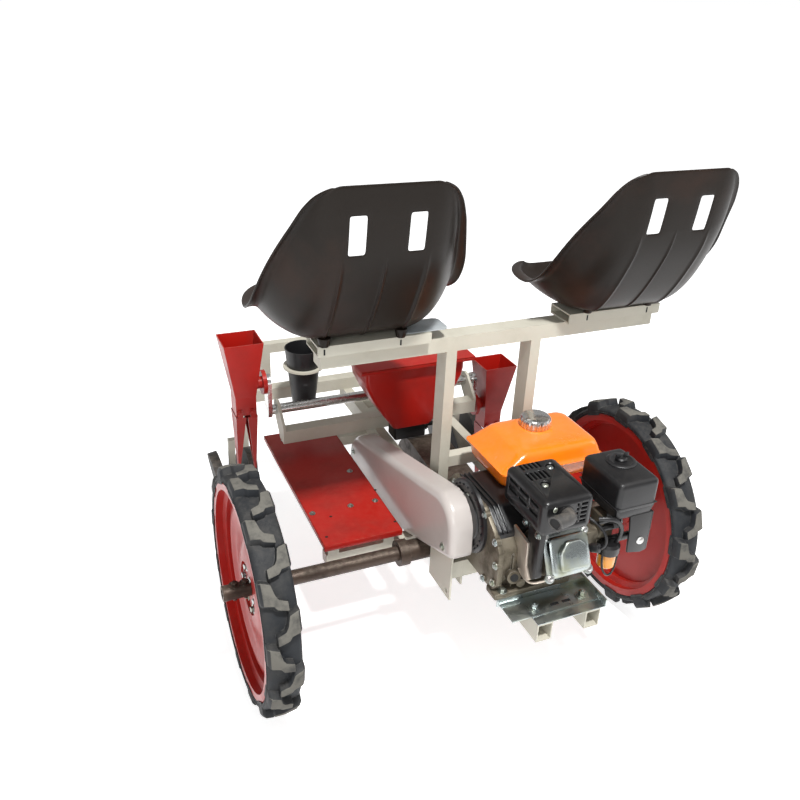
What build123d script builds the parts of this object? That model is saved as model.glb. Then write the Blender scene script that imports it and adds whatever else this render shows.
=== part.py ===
from build123d import *
import math
import os

# Two-row ride-on vegetable transplanter. Millimetres, +Y from the engine towards the planting
# units, +Z up from the ground, +X square to both, here from the middle between the wheels.

# Overall length, and how far the muffler's outlet stands out in front of the drive axle
length = 1565
front_overhang = 415
axle_y = front_overhang - length / 2

# Drive wheels and telescopic axle
wheel_radius = 300
lug_height = 20
lug_count = 26
lug_thickness = 22
lug_root = 4
lug_reach = 44
tyre_width = 80
tyre_corner = 7
track = 1070
tyre_height = 38
rim_flange_height = 16
rim_well_drop = 14
rim_wall = 4
rim_width = 72
hub_flange_radius = 62
hub_flange_thickness = 8
axle_tube_radius = 19
axle_tube_bore = 12
axle_tube_overhang = 76
axle_housing_radius = 28
axle_housing_reach = 263
running_clearance = 0.1
collar_radius = 34
collar_length = 26

# Chassis, centred between the two long rails
chassis_x = 103
rail_gap = 235
rail_width = 30
rail_height = 50
rail_bottom = wheel_radius + 31
rail_front = -12
rail_rear = 820
cross_tube_y = (600, 680)
cross_tube_height = 40

# Engine frame in front of the axle, with the side plates that carry the axle housings
engine_frame_bottom = wheel_radius - 20
engine_frame_height = 50
engine_tube_width = 40
engine_tube_gap = 130
engine_tube_x = 42
engine_tube_front = -388
engine_cross_y = (-118, -74)
plate_thickness = 5
side_plate_y = (-118, 100)
side_plate_step_y = (-34, -14)
side_plate_mid_top = wheel_radius + 45
side_plate_bottom = wheel_radius - 45
drop_plate_x = -80
drop_plate_y = (-148, -31)
drop_plate_z = (wheel_radius - 59, wheel_radius + 80, wheel_radius + 36)
drop_hole_inset = 18
drop_hole_radius = 6.5
tube_wall = 3

# Seat frame
post_width = 28
post_depth = 50
post_y = 80
beam_left = -346
beam_right = 571
beam_bottom = wheel_radius + 525
beam_height = 38
beam_depth = 50
cross_tie_z = (wheel_radius + 190, wheel_radius + 220)
cross_tie_depth = 30

# Seat channels and seats
channel_x = {"left": (-357, -80), "right": (299, 576)}
channel_depth = 86
channel_height = 26
channel_wall = 4
seat_x = {"left": -250, "right": 444}
seat_y = {"left": 16, "right": -17}
seat_wall = 6
seat_height = 381
seat_lip_height = 73
seat_foot_y = 300

# Seat outlines: from the side as (y, z) up its back and down its rim, from the front as
# (half width, z), from above as (y, half width)
seat_back = ((20, 0), (4, 30), (-46, 110), (-92, 205), (-106, 290), (-112, seat_height))
seat_rim = ((-104, seat_height), (114, seat_lip_height), (312, 60))
seat_across = ((125, 0), (237, seat_lip_height), (141, seat_height), (141, seat_height + seat_wall))
seat_plan = ((-130, 237), (130, 237), (215, 228), (270, 190), (312, 150))
seat_slot_width = 34
seat_slot_height = 75
seat_slot_corner = 12
seat_slot_gap = 130
seat_slot_z = 283

# Belt cover on the left of the chassis: engine end, gear case end
cover_x = -108
cover_width = 58
cover_near = (-107, wheel_radius + 163)
cover_near_radius = 70
cover_heel = (-165, wheel_radius + 113)
cover_heel_radius = 12
cover_far = (400, wheel_radius - 8)
cover_far_radius = 112

# Gear case between the rails
case_width = 116
case_axle_radius = 42
case_input_radius = 97
case_input_y = 390
case_input_z = wheel_radius - 20

# Floor plates and the tubes under them
floor_bottom = rail_bottom
floor_thickness = 4
floor_y = {"left": (48, 640), "right": (48, 432)}
floor_x = {"left": (-340, -126), "right": (300, 478)}
floor_tube = 30
floor_front_tube_y = 64
floor_front_tube_bottom = wheel_radius - 38
floor_rear_tube_y = {"left": 560, "right": 392}
floor_tube_inset = 10

# Hopper between the riders
hopper_x = 50
hopper_y = 385
hopper_depth = 130
hopper_top_width = 310
hopper_bottom_width = 120
hopper_shoulder_z = wheel_radius + 290
hopper_bottom = wheel_radius + 130
hopper_top = wheel_radius + 340
hopper_wall = 4
lid_over = 22
lid_thickness = 5
lid_gap = 1
lid_pin_y = 529
lid_pin_z = hopper_top - 8
lid_pin_radius = 4
lid_knuckle_radius = 8
lid_knuckle_width = 30
lid_ear_width = 6
lid_ear_foot = 4
lid_pin_sink = 1
lid_hinge_x = 100
meter_width = 100
meter_depth = 56
meter_inset = 20

# Planting units
row_x = 412
crank_y = 570
crank_z = wheel_radius + 161
crank_radius = 95
crank_arm_inner = 333
crank_arm_thickness = 12
crank_arm_width = 44
shaft_radius = 15
pin_radius = 10
pin_length = 22
funnel_top = 144
funnel_depth = 104
funnel_wall = 3
funnel_outer_x = 59
funnel_inner_x = 53
neck_width = 60
neck_depth = 62
neck_top = -28
neck_bottom = -84
hub_gap = 2
hub_disc_radius = 36
hub_disc_thickness = 12
hub_boss_radius = 18
hub_sink = 6
jaw_pivot_x = 18
jaw_pivot_z = -72
jaw_pin_radius = 4
jaw_pin_length = 7
jaw_ear = 3
jaw_ear_half = 8
jaw_ear_crown = 5
jaw_ear_root = 6
jaw_side_gap = 1
jaw_floor = 20
jaw_tip_wall = 2
jaw_slit = 0.5
jaw_top_gap = 4
jaw_tip_z = -283
jaw_tip_width = 10
jaw_tip_depth = 12
jaw_wall = 3
jaw_splay = 6

# Planter beam with its bearing plates, and the drive to the planting shaft
planter_beam_y = 515
planter_beam_size = 40
bearing_plate_x = 312
bearing_plate_thickness = 8
bearing_radius = 30
bearing_plate_rise = 10
bearing_plate_waist = (20, 22)
drive_case_x = (161, 199)
drive_case_low_radius = 58
drive_case_high_radius = 34
drive_case_notch = 1

# Rear frame, press wheels and handlebar
rear_beam_y = 800
rear_beam_size = 40
hitch_hole_radius = 6.5
portal_x = 289
portal_top = wheel_radius + 275
portal_tube = 30
press_radius = 100
press_width = 30
press_y = 796
press_half_gap = 42
press_tilt = 10
press_leg = 20
press_bridge_gap = 14
press_bridge = 30
press_arm_x = 372
press_arm_size = 30
press_axle_radius = 9
handle_gap = 240
handle_radius = 16
handle_foot = 40
handle_bend = 50
handle_top = wheel_radius + 510
handle_flat = 150
handle_tie_share = 0.6
handle_tie_radius = 11
grip_length = 120
grip_radius = 20

# Seedling pots hung in rings from the portal
pot_x = 206
pot_y = 652
pot_top_radius = 56
pot_bottom_radius = 36
pot_z = (wheel_radius + 130, wheel_radius + 312)
pot_wall = 3
pot_ring_z = wheel_radius + 248
ring_thickness = 6
ring_width = 12
ring_gap = 0.3
ring_stalk = 24

# Engine on its two base channels
engine_base = wheel_radius + 50
base_channel_x = (-36, 206)
base_channel_y = ((-297, -265), (-84, -36))
front_plate_x = (22, 206)
front_plate_thickness = 6
crankcase_x = (-40, 150)
crankcase_y = (-283, -20)
crankcase_top = engine_base + 190
crank_y_engine = -125
crank_z_engine = engine_base + 106
engine_ring_y = -140
engine_ring_z = engine_base + 135
engine_ring_radius = 92
fan_radius = 96
fan_depth = 90
cylinder_x = (30, 170)
cylinder_y = (-360, -283)
cylinder_z = (engine_base + 70, engine_base + 215)
head_x = (42, 150)
head_y = (-392, -360)
head_z = (engine_base + 112, engine_base + 200)
tank_x = (28, 320)
tank_y = (-161, 35)
tank_z = (engine_base + 205, engine_base + 280)
tank_foot_x = (70, 140)
tank_foot_y = (-140, -40)
tank_foot_width = 16
tank_cap = (185, -25)
tank_cap_radius = 30
tank_cap_height = 22
muffler_x = (9, 137)
muffler_y = (-378, -207)
muffler_z = (engine_base + 215, engine_base + 300)
spout_x = 59
spout_z = engine_base + 261
spout_radius = 17
air_cleaner_x = (207, 318)
air_cleaner_y = (-369, -218)
air_cleaner_z = (engine_base + 175, engine_base + 300)
carburettor_x = (170, 260)
carburettor_y = (-330, -260)
carburettor_z = (engine_base + 100, engine_base + 175)

os.makedirs("parts", exist_ok=True)

sides = (("left", -1), ("right", 1))
post_x = (chassis_x - rail_gap / 2, chassis_x + rail_gap / 2)
rail_top = rail_bottom + rail_height

# The right seat reaches out further than the left end of the axle
seat_half_width = max(half for half, z in seat_across)
middle_x = (seat_x["right"] + seat_half_width - track / 2 - axle_tube_overhang) / 2


def at(y):
    """Y in the row frame of a place measured back from the drive axle."""
    return axle_y + y


def save(shape, label):
    """Write one piece, moved so that the machine's middle comes at x zero."""
    placed = Pos(-middle_x, 0, 0) * shape
    placed.label = label
    export_step(placed, f"parts/{label}.step")


def box(x, y, z, mode=Mode.ADD):
    """Box between two limits on each axis, y measured back from the drive axle."""
    with Locations(((x[0] + x[1]) / 2, at((y[0] + y[1]) / 2), (z[0] + z[1]) / 2)):
        Box(x[1] - x[0], y[1] - y[0], z[1] - z[0], mode=mode)


def around(centre, size):
    """Limits of a size centred on a value."""
    return (centre - size / 2, centre + size / 2)


def side(x):
    """Plane across the machine at x, its own x along Y and its own y along Z."""
    return Plane.YZ.offset(x)


def lying(centre, x, radius, depth):
    """Round bar along X from x, centred on (y, z), y measured back from the drive axle."""
    with BuildSketch(side(x)) as disc:
        with Locations((at(centre[0]), centre[1])):
            Circle(radius)
    extrude(disc.sketch, amount=depth)


# Drive wheels: each a lugged tyre, a dished rim with its hub, and the axle tube
axle_line = Axis((0, axle_y, wheel_radius), (1, 0, 0))
axle_section = Plane(origin=(0, axle_y, wheel_radius), x_dir=(1, 0, 0), z_dir=(0, -1, 0))


def axle_face(x):
    """Plane square to the axle at x, centred on it."""
    return Plane(origin=(x, axle_y, wheel_radius), x_dir=(0, 1, 0), z_dir=(1, 0, 0))


carcass_radius = wheel_radius - lug_height
rim_flange_radius = wheel_radius - tyre_height
rim_bed_radius = rim_flange_radius - rim_flange_height
rim_well_radius = rim_bed_radius - rim_well_drop
lug_centre = (carcass_radius - lug_root + wheel_radius) / 2
half_rim = rim_width / 2
bead_radius = rim_bed_radius + rim_wall / 2
tyre_shoulder = rim_flange_radius + rim_wall / 2
for name, sign in sides:
    wheel_x = sign * track / 2
    with BuildPart() as tyre:
        with BuildSketch(axle_section):
            with Locations((wheel_x, (carcass_radius + tyre_shoulder) / 2)):
                RectangleRounded(tyre_width, carcass_radius - tyre_shoulder, tyre_corner)
            with Locations((wheel_x, (bead_radius + carcass_radius - tyre_corner) / 2)):
                Rectangle(rim_width - rim_wall, carcass_radius - tyre_corner - bead_radius)
        revolve(axis=axle_line)
        for face, turn in ((-1, 0), (1, 360 / lug_count)):
            with BuildSketch(axle_face(wheel_x + face * tyre_width / 2)):
                with PolarLocations(lug_centre, lug_count // 2, start_angle=turn):
                    Rectangle(lug_height + lug_root, lug_thickness)
            extrude(amount=-face * lug_reach)
    save(tyre.part, f"tyre_{name}")

    # Drop-centre rim with its disc and the hub flange that clamps on the axle tube
    with BuildPart() as rim:
        with BuildSketch(axle_section):
            with BuildLine():
                Polyline((wheel_x - half_rim, rim_flange_radius), (wheel_x - half_rim, rim_bed_radius),
                         (wheel_x - half_rim / 2, rim_bed_radius), (wheel_x - half_rim / 3, rim_well_radius),
                         (wheel_x + half_rim / 3, rim_well_radius), (wheel_x + half_rim / 2, rim_bed_radius),
                         (wheel_x + half_rim, rim_bed_radius), (wheel_x + half_rim, rim_flange_radius))
            trace(line_width=rim_wall)
        revolve(axis=axle_line)
        with BuildSketch(axle_face(wheel_x - rim_wall / 2)):
            Circle(rim_well_radius)
            Circle(axle_tube_radius, mode=Mode.SUBTRACT)
        extrude(amount=rim_wall)
        with BuildSketch(axle_face(wheel_x - hub_flange_thickness)):
            Circle(hub_flange_radius)
            Circle(axle_tube_radius, mode=Mode.SUBTRACT)
        extrude(amount=2 * hub_flange_thickness)
    save(rim.part, f"rim_{name}")

    tube_outer = track / 2 + axle_tube_overhang
    tube_inner = axle_housing_reach / 2
    with BuildPart() as axle_tube:
        with BuildSketch(axle_face(min(sign * tube_outer, sign * tube_inner + chassis_x))):
            Circle(axle_tube_radius)
            Circle(axle_tube_bore, mode=Mode.SUBTRACT)
        extrude(amount=tube_outer - tube_inner - sign * chassis_x)
    save(axle_tube.part, f"axle_tube_{name}")

# Gear case on the axle line, tapering up from the axle to the input shaft
with BuildPart() as gear_case:
    with BuildSketch(side(chassis_x - case_width / 2)) as case_profile:
        with Locations((at(0), wheel_radius)):
            Circle(case_axle_radius)
        with Locations((at(case_input_y), case_input_z)):
            Circle(case_input_radius)
        make_hull()
    extrude(amount=case_width)
save(gear_case.part, "gear_case")

bore = axle_tube_radius + running_clearance
with BuildPart() as housings:
    for name, sign in sides:
        inner = chassis_x + sign * case_width / 2
        outer = chassis_x + sign * axle_housing_reach
        lying((0, wheel_radius), min(inner, outer), axle_housing_radius, abs(inner - outer))
        lying((0, wheel_radius), min(outer, outer - sign * collar_length), collar_radius, collar_length)
        with BuildSketch(side(min(inner, outer))):
            with Locations((at(0), wheel_radius)):
                Circle(bore)
        extrude(amount=abs(inner - outer), mode=Mode.SUBTRACT)
save(housings.part, "axle_housings")

# Chassis rails above the axle, tied by cross tubes and by the tube under the floor plates
with BuildPart() as chassis_rails:
    for x in post_x:
        box(around(x, rail_width), (rail_front, rail_rear), (rail_bottom, rail_top))
    for y in cross_tube_y:
        box(post_x, (y, y + rail_width), (rail_top - cross_tube_height, rail_top))
save(chassis_rails.part, "chassis_rails")

# Side plates that hold the axle housings, and the drop plate beside them
frame_top = engine_frame_bottom + engine_frame_height
plate_inner = (post_x[0] - rail_width / 2, post_x[1] + rail_width / 2)
with BuildPart() as side_plates:
    for x in (plate_inner[0] - plate_thickness, plate_inner[1]):
        with BuildSketch(side(x)):
            with BuildLine():
                Polyline((at(side_plate_y[0]), side_plate_bottom), (at(side_plate_y[0]), frame_top),
                         (at(side_plate_step_y[0]), frame_top), (at(side_plate_step_y[0]), side_plate_mid_top),
                         (at(side_plate_step_y[1]), side_plate_mid_top), (at(side_plate_step_y[1]), rail_top),
                         (at(side_plate_y[1]), rail_top), (at(side_plate_y[1]), side_plate_bottom), close=True)
            make_face()
            with Locations((at(0), wheel_radius)):
                Circle(axle_housing_radius, mode=Mode.SUBTRACT)
        extrude(amount=plate_thickness)
    with BuildSketch(side(drop_plate_x)):
        with BuildLine():
            Polyline((at(drop_plate_y[0]), drop_plate_z[0]), (at(drop_plate_y[0]), drop_plate_z[1]),
                     (at(drop_plate_y[1]), drop_plate_z[2]), (at(drop_plate_y[1]), drop_plate_z[0]), close=True)
        make_face()
        with Locations((at(drop_plate_y[0] + drop_hole_inset), drop_plate_z[0] + drop_hole_inset)):
            Circle(drop_hole_radius, mode=Mode.SUBTRACT)
    extrude(amount=plate_thickness)
save(side_plates.part, "side_plates")

# Cross tube between the side plates and out to the drop plate, and two tubes to the front
with BuildPart() as engine_frame:
    box(plate_inner, engine_cross_y, (engine_frame_bottom, frame_top))
    for x in (engine_tube_x, engine_tube_x + engine_tube_gap):
        tube_y = (engine_tube_front, engine_cross_y[0])
        box(around(x, engine_tube_width), tube_y, (engine_frame_bottom, frame_top))
        box(around(x, engine_tube_width - 2 * tube_wall), tube_y,
            (engine_frame_bottom + tube_wall, frame_top - tube_wall), mode=Mode.SUBTRACT)
    box((drop_plate_x + plate_thickness, plate_inner[0] - plate_thickness), engine_cross_y,
        (engine_frame_bottom, frame_top))
save(engine_frame.part, "engine_frame")

# Floor plates, each on a tube under its rail and on a bracket from the side plate
with BuildPart() as floor_plates:
    for name, sign in sides:
        box(floor_x[name], floor_y[name], (floor_bottom, floor_bottom + floor_thickness))
save(floor_plates.part, "floor_plates")

with BuildPart() as floor_supports:
    for name, sign in sides:
        limits = floor_x[name]
        outer_face = plate_inner[0] - plate_thickness if sign < 0 else plate_inner[1] + plate_thickness
        far = limits[0] + floor_tube_inset if sign < 0 else limits[1] - floor_tube_inset
        bracket_y = (floor_front_tube_y, floor_front_tube_y + floor_tube)
        box((min(outer_face, far), max(outer_face, far)), bracket_y,
            (floor_front_tube_bottom, floor_front_tube_bottom + floor_tube))
        for x in (limits[0] + floor_tube, limits[1] - floor_tube):
            box(around(x, floor_tube), bracket_y, (floor_front_tube_bottom + floor_tube, floor_bottom))
        rail = post_x[0] if sign < 0 else post_x[1]
        y = floor_rear_tube_y[name]
        box((min(rail, far), max(rail, far)), (y, y + floor_tube), (rail_bottom - floor_tube, rail_bottom))
save(floor_supports.part, "floor_supports")

# Seat frame: two posts, the cross tie and the beam that carries both seats
with BuildPart() as seat_frame:
    for x in post_x:
        box(around(x, post_width), around(post_y, post_depth), (rail_top, beam_bottom))
    box(post_x, around(post_y, cross_tie_depth), cross_tie_z)
    box((beam_left, beam_right), around(post_y, beam_depth), (beam_bottom, beam_bottom + beam_height))
save(seat_frame.part, "seat_frame")

# Seat channels, open at their ends
beam_top = beam_bottom + beam_height
seat_bottom = beam_top + channel_height
with BuildPart() as channels:
    for limits in channel_x.values():
        box(limits, around(post_y, channel_depth), (beam_top, seat_bottom))
        box(limits, around(post_y, channel_depth - 2 * channel_wall),
            (beam_top + channel_wall, seat_bottom - channel_wall), mode=Mode.SUBTRACT)
save(channels.part, "seat_channels")


def seat_side(inset):
    """Side outline of a seat, or of its hollow, open upwards, when inset is the wall."""
    back = [(y + inset, max(z, inset)) for y, z in seat_back]
    front = [(seat_rim[-1][0] - inset, seat_rim[-1][1]), (seat_foot_y - inset, inset)]
    over = list(seat_rim[:-1])
    if inset:
        over = [(back[-1][0], seat_height + inset), (front[0][0], seat_height + inset)]
    return back + over + front


def tub(name, inset):
    """Solid under a seat's outer form, or its hollow when inset is the wall."""
    x, y0 = seat_x[name], seat_y[name]
    across = [(half - inset, seat_bottom + z) for half, z in seat_across]
    plan = [(half - inset, at(y0 + y)) for y, half in seat_plan]
    with BuildPart() as form:
        with BuildSketch(side(x - seat_half_width)):
            with BuildLine():
                Polyline(*[(at(y0 + y), seat_bottom + z) for y, z in seat_side(inset)], close=True)
            make_face()
        extrude(amount=2 * seat_half_width)
        with BuildSketch(Plane.XZ.offset(-plan[-1][1])):
            with BuildLine():
                Polyline(*[(x + half, z) for half, z in across], *[(x - half, z) for half, z in across[::-1]],
                         close=True)
            make_face()
        extrude(amount=plan[-1][1] - plan[0][1], mode=Mode.INTERSECT)
        with BuildSketch(Plane.XY.offset(seat_bottom)):
            with BuildLine():
                Polyline(*[(x + half, y) for half, y in plan], *[(x - half, y) for half, y in plan[::-1]],
                         close=True)
            make_face()
        extrude(amount=seat_height + seat_wall, mode=Mode.INTERSECT)
    return form.part


for name, x in seat_x.items():
    outer, hollow = tub(name, 0), tub(name, seat_wall)
    with BuildPart() as seat:
        add(outer)
        add(hollow, mode=Mode.SUBTRACT)
        with BuildSketch(Plane.XZ.offset(-at(seat_y[name]))):
            with Locations((x - seat_slot_gap / 2, seat_bottom + seat_slot_z),
                           (x + seat_slot_gap / 2, seat_bottom + seat_slot_z)):
                RectangleRounded(seat_slot_width, seat_slot_height, seat_slot_corner)
        extrude(amount=-seat_plan[0][0], mode=Mode.SUBTRACT)
    save(seat.part, f"seat_{name}")

# Belt cover: a case from the engine pulley down to the pulley on the gear case
with BuildPart() as belt_cover:
    with BuildSketch(side(cover_x)):
        for centre, radius in ((cover_near, cover_near_radius), (cover_heel, cover_heel_radius),
                               (cover_far, cover_far_radius)):
            with Locations((at(centre[0]), centre[1])):
                Circle(radius)
        make_hull()
    extrude(amount=cover_width)
save(belt_cover.part, "belt_cover")

# Hopper: a tapered bin between the riders on its metering box, with a hinged lid
hopper_limits = (hopper_y, hopper_y + hopper_depth)


def bin_profile(inset):
    half_top = hopper_top_width / 2 - inset
    half_bottom = hopper_bottom_width / 2 - inset
    with BuildSketch(Plane.XZ.offset(-at(hopper_y + inset))) as profile:
        with BuildLine():
            Polyline((hopper_x - half_bottom, hopper_bottom + inset),
                     (hopper_x + half_bottom, hopper_bottom + inset),
                     (hopper_x + half_top, hopper_shoulder_z), (hopper_x + half_top, hopper_top),
                     (hopper_x - half_top, hopper_top), (hopper_x - half_top, hopper_shoulder_z), close=True)
        make_face()
    return profile.sketch


with BuildPart() as hopper:
    extrude(bin_profile(0), amount=-hopper_depth)
    extrude(bin_profile(hopper_wall), amount=2 * hopper_wall - hopper_depth, mode=Mode.SUBTRACT)
    for x in (hopper_x - lid_hinge_x, hopper_x + lid_hinge_x):
        ear_gap = lid_knuckle_width + 2 * lid_gap
        for ear_x in (x - ear_gap / 2 - lid_ear_width, x + ear_gap / 2):
            box((ear_x, ear_x + lid_ear_width), (hopper_limits[1], lid_pin_y + lid_pin_radius),
                (lid_pin_z - lid_pin_radius - lid_ear_foot, lid_pin_z + lid_pin_radius))
        lying((lid_pin_y, lid_pin_z), x - ear_gap / 2 - lid_pin_sink, lid_pin_radius, ear_gap + 2 * lid_pin_sink)
save(hopper.part, "hopper")

with BuildPart() as lid:
    box(around(hopper_x, hopper_top_width + 2 * lid_over), (hopper_y - lid_over, hopper_limits[1] + lid_over),
        (hopper_top + lid_gap, hopper_top + lid_gap + lid_thickness))
    for x in (hopper_x - lid_hinge_x, hopper_x + lid_hinge_x):
        lying((lid_pin_y, lid_pin_z), x - lid_knuckle_width / 2, lid_knuckle_radius, lid_knuckle_width)
        box(around(x, lid_knuckle_width), around(lid_pin_y, 2 * lid_pin_radius), (lid_pin_z, hopper_top + lid_gap))
        with BuildSketch(side(x - lid_knuckle_width / 2)):
            with Locations((at(lid_pin_y), lid_pin_z)):
                Circle(lid_pin_radius + running_clearance)
        extrude(amount=lid_knuckle_width, mode=Mode.SUBTRACT)
save(lid.part, "hopper_lid")

with BuildPart() as meter:
    meter_y = hopper_y + meter_inset
    box(around(hopper_x, meter_width), (meter_y, meter_y + meter_depth), (rail_top, hopper_bottom))
save(meter.part, "metering_box")

# Planter beam across the rails, with the plates that carry the planting shaft
beam_y = around(planter_beam_y, planter_beam_size)
waist_y, waist_z = bearing_plate_waist
with BuildPart() as planter_beam:
    box(around(0, 2 * bearing_plate_x), beam_y, (rail_top, rail_top + planter_beam_size))
    for sign in (-1, 1):
        with BuildSketch(side(sign * bearing_plate_x - bearing_plate_thickness / 2)):
            with Locations((at(crank_y), crank_z)):
                Circle(bearing_radius)
            with BuildLine():
                Polyline((at(beam_y[0]), rail_top),
                         (at(beam_y[0]), rail_top + planter_beam_size + bearing_plate_rise),
                         (at(crank_y - waist_y), crank_z + waist_z), (at(crank_y), crank_z),
                         (at(crank_y + waist_y), crank_z - waist_z), (at(beam_y[1]), rail_top), close=True)
            make_face()
            with Locations((at(crank_y), crank_z)):
                Circle(shaft_radius + running_clearance, mode=Mode.SUBTRACT)
        extrude(amount=bearing_plate_thickness)
save(planter_beam.part, "planter_beam")

# Chain case from the gear case up to the planting shaft
with BuildPart() as drive_case:
    with BuildSketch(side(drive_case_x[0])):
        with Locations((at(case_input_y), case_input_z)):
            Circle(drive_case_low_radius)
        with Locations((at(crank_y), crank_z)):
            Circle(drive_case_high_radius)
        make_hull()
        with Locations((at(crank_y), crank_z)):
            Circle(shaft_radius + running_clearance, mode=Mode.SUBTRACT)
    extrude(amount=drive_case_x[1] - drive_case_x[0])
    box(drive_case_x, (beam_y[0] - drive_case_notch, beam_y[1] + drive_case_notch),
        (rail_top - drive_case_notch, rail_top + planter_beam_size + drive_case_notch), mode=Mode.SUBTRACT)
save(drive_case.part, "drive_case")

# Planting shaft with a crank at each end, half a turn apart
shaft_end = crank_arm_inner + crank_arm_thickness
with BuildPart() as planting_shaft:
    lying((crank_y, crank_z), -shaft_end, shaft_radius, 2 * shaft_end)
    for sign in (-1, 1):
        pin_z = crank_z - sign * crank_radius
        with BuildSketch(side(min(sign * crank_arm_inner, sign * shaft_end))):
            with Locations((at(crank_y), (crank_z + pin_z) / 2)):
                SlotOverall(crank_radius + crank_arm_width, crank_arm_width, rotation=90)
        extrude(amount=crank_arm_thickness)
        lying((crank_y, pin_z), min(sign * shaft_end, sign * (shaft_end + pin_length)), pin_radius, pin_length)
save(planting_shaft.part, "planting_shaft")


def upright(x, z, width, depth):
    """Rectangle lying at height z, centred on a planter."""
    with BuildSketch(Plane.XY.offset(z)) as level:
        with Locations((x, at(crank_y))):
            Rectangle(width, depth)
    return level.sketch


# Planters: a flared cup with its neck and hub, and two jaws that open sideways
for name, sign in sides:
    pin_z = crank_z - sign * crank_radius
    x = sign * row_x
    funnel_x = x + sign * (funnel_outer_x - funnel_inner_x) / 2
    funnel_width = funnel_outer_x + funnel_inner_x
    hub_face = sign * (shaft_end + hub_gap)
    neck_face = sign * (row_x - neck_width / 2)
    with BuildPart() as cup:
        extrude(upright(x, pin_z + neck_bottom, neck_width, neck_depth), amount=neck_top - neck_bottom)
        loft([upright(x, pin_z + neck_top, neck_width, neck_depth),
              upright(funnel_x, pin_z + funnel_top, funnel_width, funnel_depth)])
        lying((crank_y, pin_z), min(hub_face, hub_face + sign * hub_disc_thickness), hub_disc_radius,
              hub_disc_thickness)
        boss_end = neck_face + sign * hub_sink
        lying((crank_y, pin_z), min(hub_face, boss_end), hub_boss_radius, abs(boss_end - hub_face))
        inner_width = neck_width - 2 * funnel_wall
        inner_depth = neck_depth - 2 * funnel_wall
        extrude(upright(x, pin_z + neck_bottom, inner_width, inner_depth), amount=neck_top - neck_bottom,
                mode=Mode.SUBTRACT)
        loft([upright(x, pin_z + neck_top, inner_width, inner_depth),
              upright(funnel_x, pin_z + funnel_top, funnel_width - 2 * funnel_wall,
                      funnel_depth - 2 * funnel_wall)], mode=Mode.SUBTRACT)
        with BuildSketch(side(min(hub_face, hub_face + sign * pin_length))):
            with Locations((at(crank_y), pin_z)):
                Circle(pin_radius + running_clearance)
        extrude(amount=pin_length, mode=Mode.SUBTRACT)
        for pivot in (-jaw_pivot_x, jaw_pivot_x):
            for face in (-1, 1):
                with BuildSketch(Plane.XZ.offset(-at(crank_y) - face * neck_depth / 2)):
                    with Locations((x + pivot, pin_z + jaw_pivot_z)):
                        Circle(jaw_pin_radius)
                extrude(amount=-face * jaw_pin_length)
    save(cup.part, f"planter_cup_{name}")

    for which, out in (("outer", sign), ("inner", -sign)):
        pivot = (x + out * jaw_pivot_x, pin_z + jaw_pivot_z)
        top = pin_z + neck_bottom - jaw_top_gap
        tip = pin_z + jaw_tip_z
        reach = neck_depth / 2 + jaw_side_gap
        with BuildPart() as jaw:
            loft([upright(x, tip, jaw_tip_width, jaw_tip_depth),
                  upright(x, top, neck_width, 2 * reach + 2 * jaw_ear)])
            for face in (-1, 1):
                with BuildSketch(Plane.XZ.offset(-at(crank_y) - face * reach)):
                    with BuildLine():
                        Polyline((pivot[0] - jaw_ear_half, top - jaw_ear_root), (pivot[0] - jaw_ear_half, pivot[1]),
                                 (pivot[0] - jaw_ear_crown, pivot[1] + jaw_ear_half),
                                 (pivot[0] + jaw_ear_crown, pivot[1] + jaw_ear_half),
                                 (pivot[0] + jaw_ear_half, pivot[1]), (pivot[0] + jaw_ear_half, top - jaw_ear_root),
                                 close=True)
                    make_face()
                    with Locations(pivot):
                        Circle(jaw_pin_radius + running_clearance, mode=Mode.SUBTRACT)
                extrude(amount=-face * jaw_ear)
            loft([upright(x, tip + jaw_floor, jaw_tip_width - 2 * jaw_tip_wall, jaw_tip_depth - 2 * jaw_tip_wall),
                  upright(x, top, neck_width - 2 * jaw_wall, 2 * reach)], mode=Mode.SUBTRACT)
            split(bisect_by=Plane(origin=(x + out * jaw_slit, 0, 0), z_dir=(out, 0, 0)), keep=Keep.TOP)
        opened = jaw.part.rotate(Axis((pivot[0], 0, pivot[1]), (0, 1, 0)), -out * jaw_splay)
        save(opened, f"jaw_{which}_{name}")

# Rear frame on the rails: the rear beam and the portal
rear_beam_top = rail_top + rear_beam_size
with BuildPart() as rear_frame:
    box(around(0, 2 * press_arm_x + press_arm_size), around(rear_beam_y, rear_beam_size), (rail_top, rear_beam_top))
    with BuildSketch(Plane.XY.offset(rail_top)):
        with Locations((chassis_x, at(rear_beam_y))):
            Circle(hitch_hole_radius)
    extrude(amount=rear_beam_size, mode=Mode.SUBTRACT)
    for x in (-portal_x, portal_x):
        box(around(x, portal_tube), around(rear_beam_y, portal_tube), (rear_beam_top, portal_top))
    box((-portal_x, portal_x), around(rear_beam_y, portal_tube), (portal_top - portal_tube, portal_top))
save(rear_frame.part, "rear_frame")

# Press wheels: a pair of tilted wheels on an arm behind each row
tilt = math.radians(press_tilt)
press_hub_z = press_radius * math.cos(tilt) + (press_half_gap + press_width / 2) * math.sin(tilt)
bridge_bottom = press_hub_z + press_radius + press_bridge_gap
bridge_z = (bridge_bottom, bridge_bottom + press_bridge)


def press_axis(x, out, start):
    """Plane square to a press wheel's axle, start along it from the leg at x."""
    along = (out * math.cos(tilt), 0, -math.sin(tilt))
    return Plane(origin=(x + along[0] * start, at(press_y), press_hub_z + along[2] * start),
                 x_dir=(0, 1, 0), z_dir=along)


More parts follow.
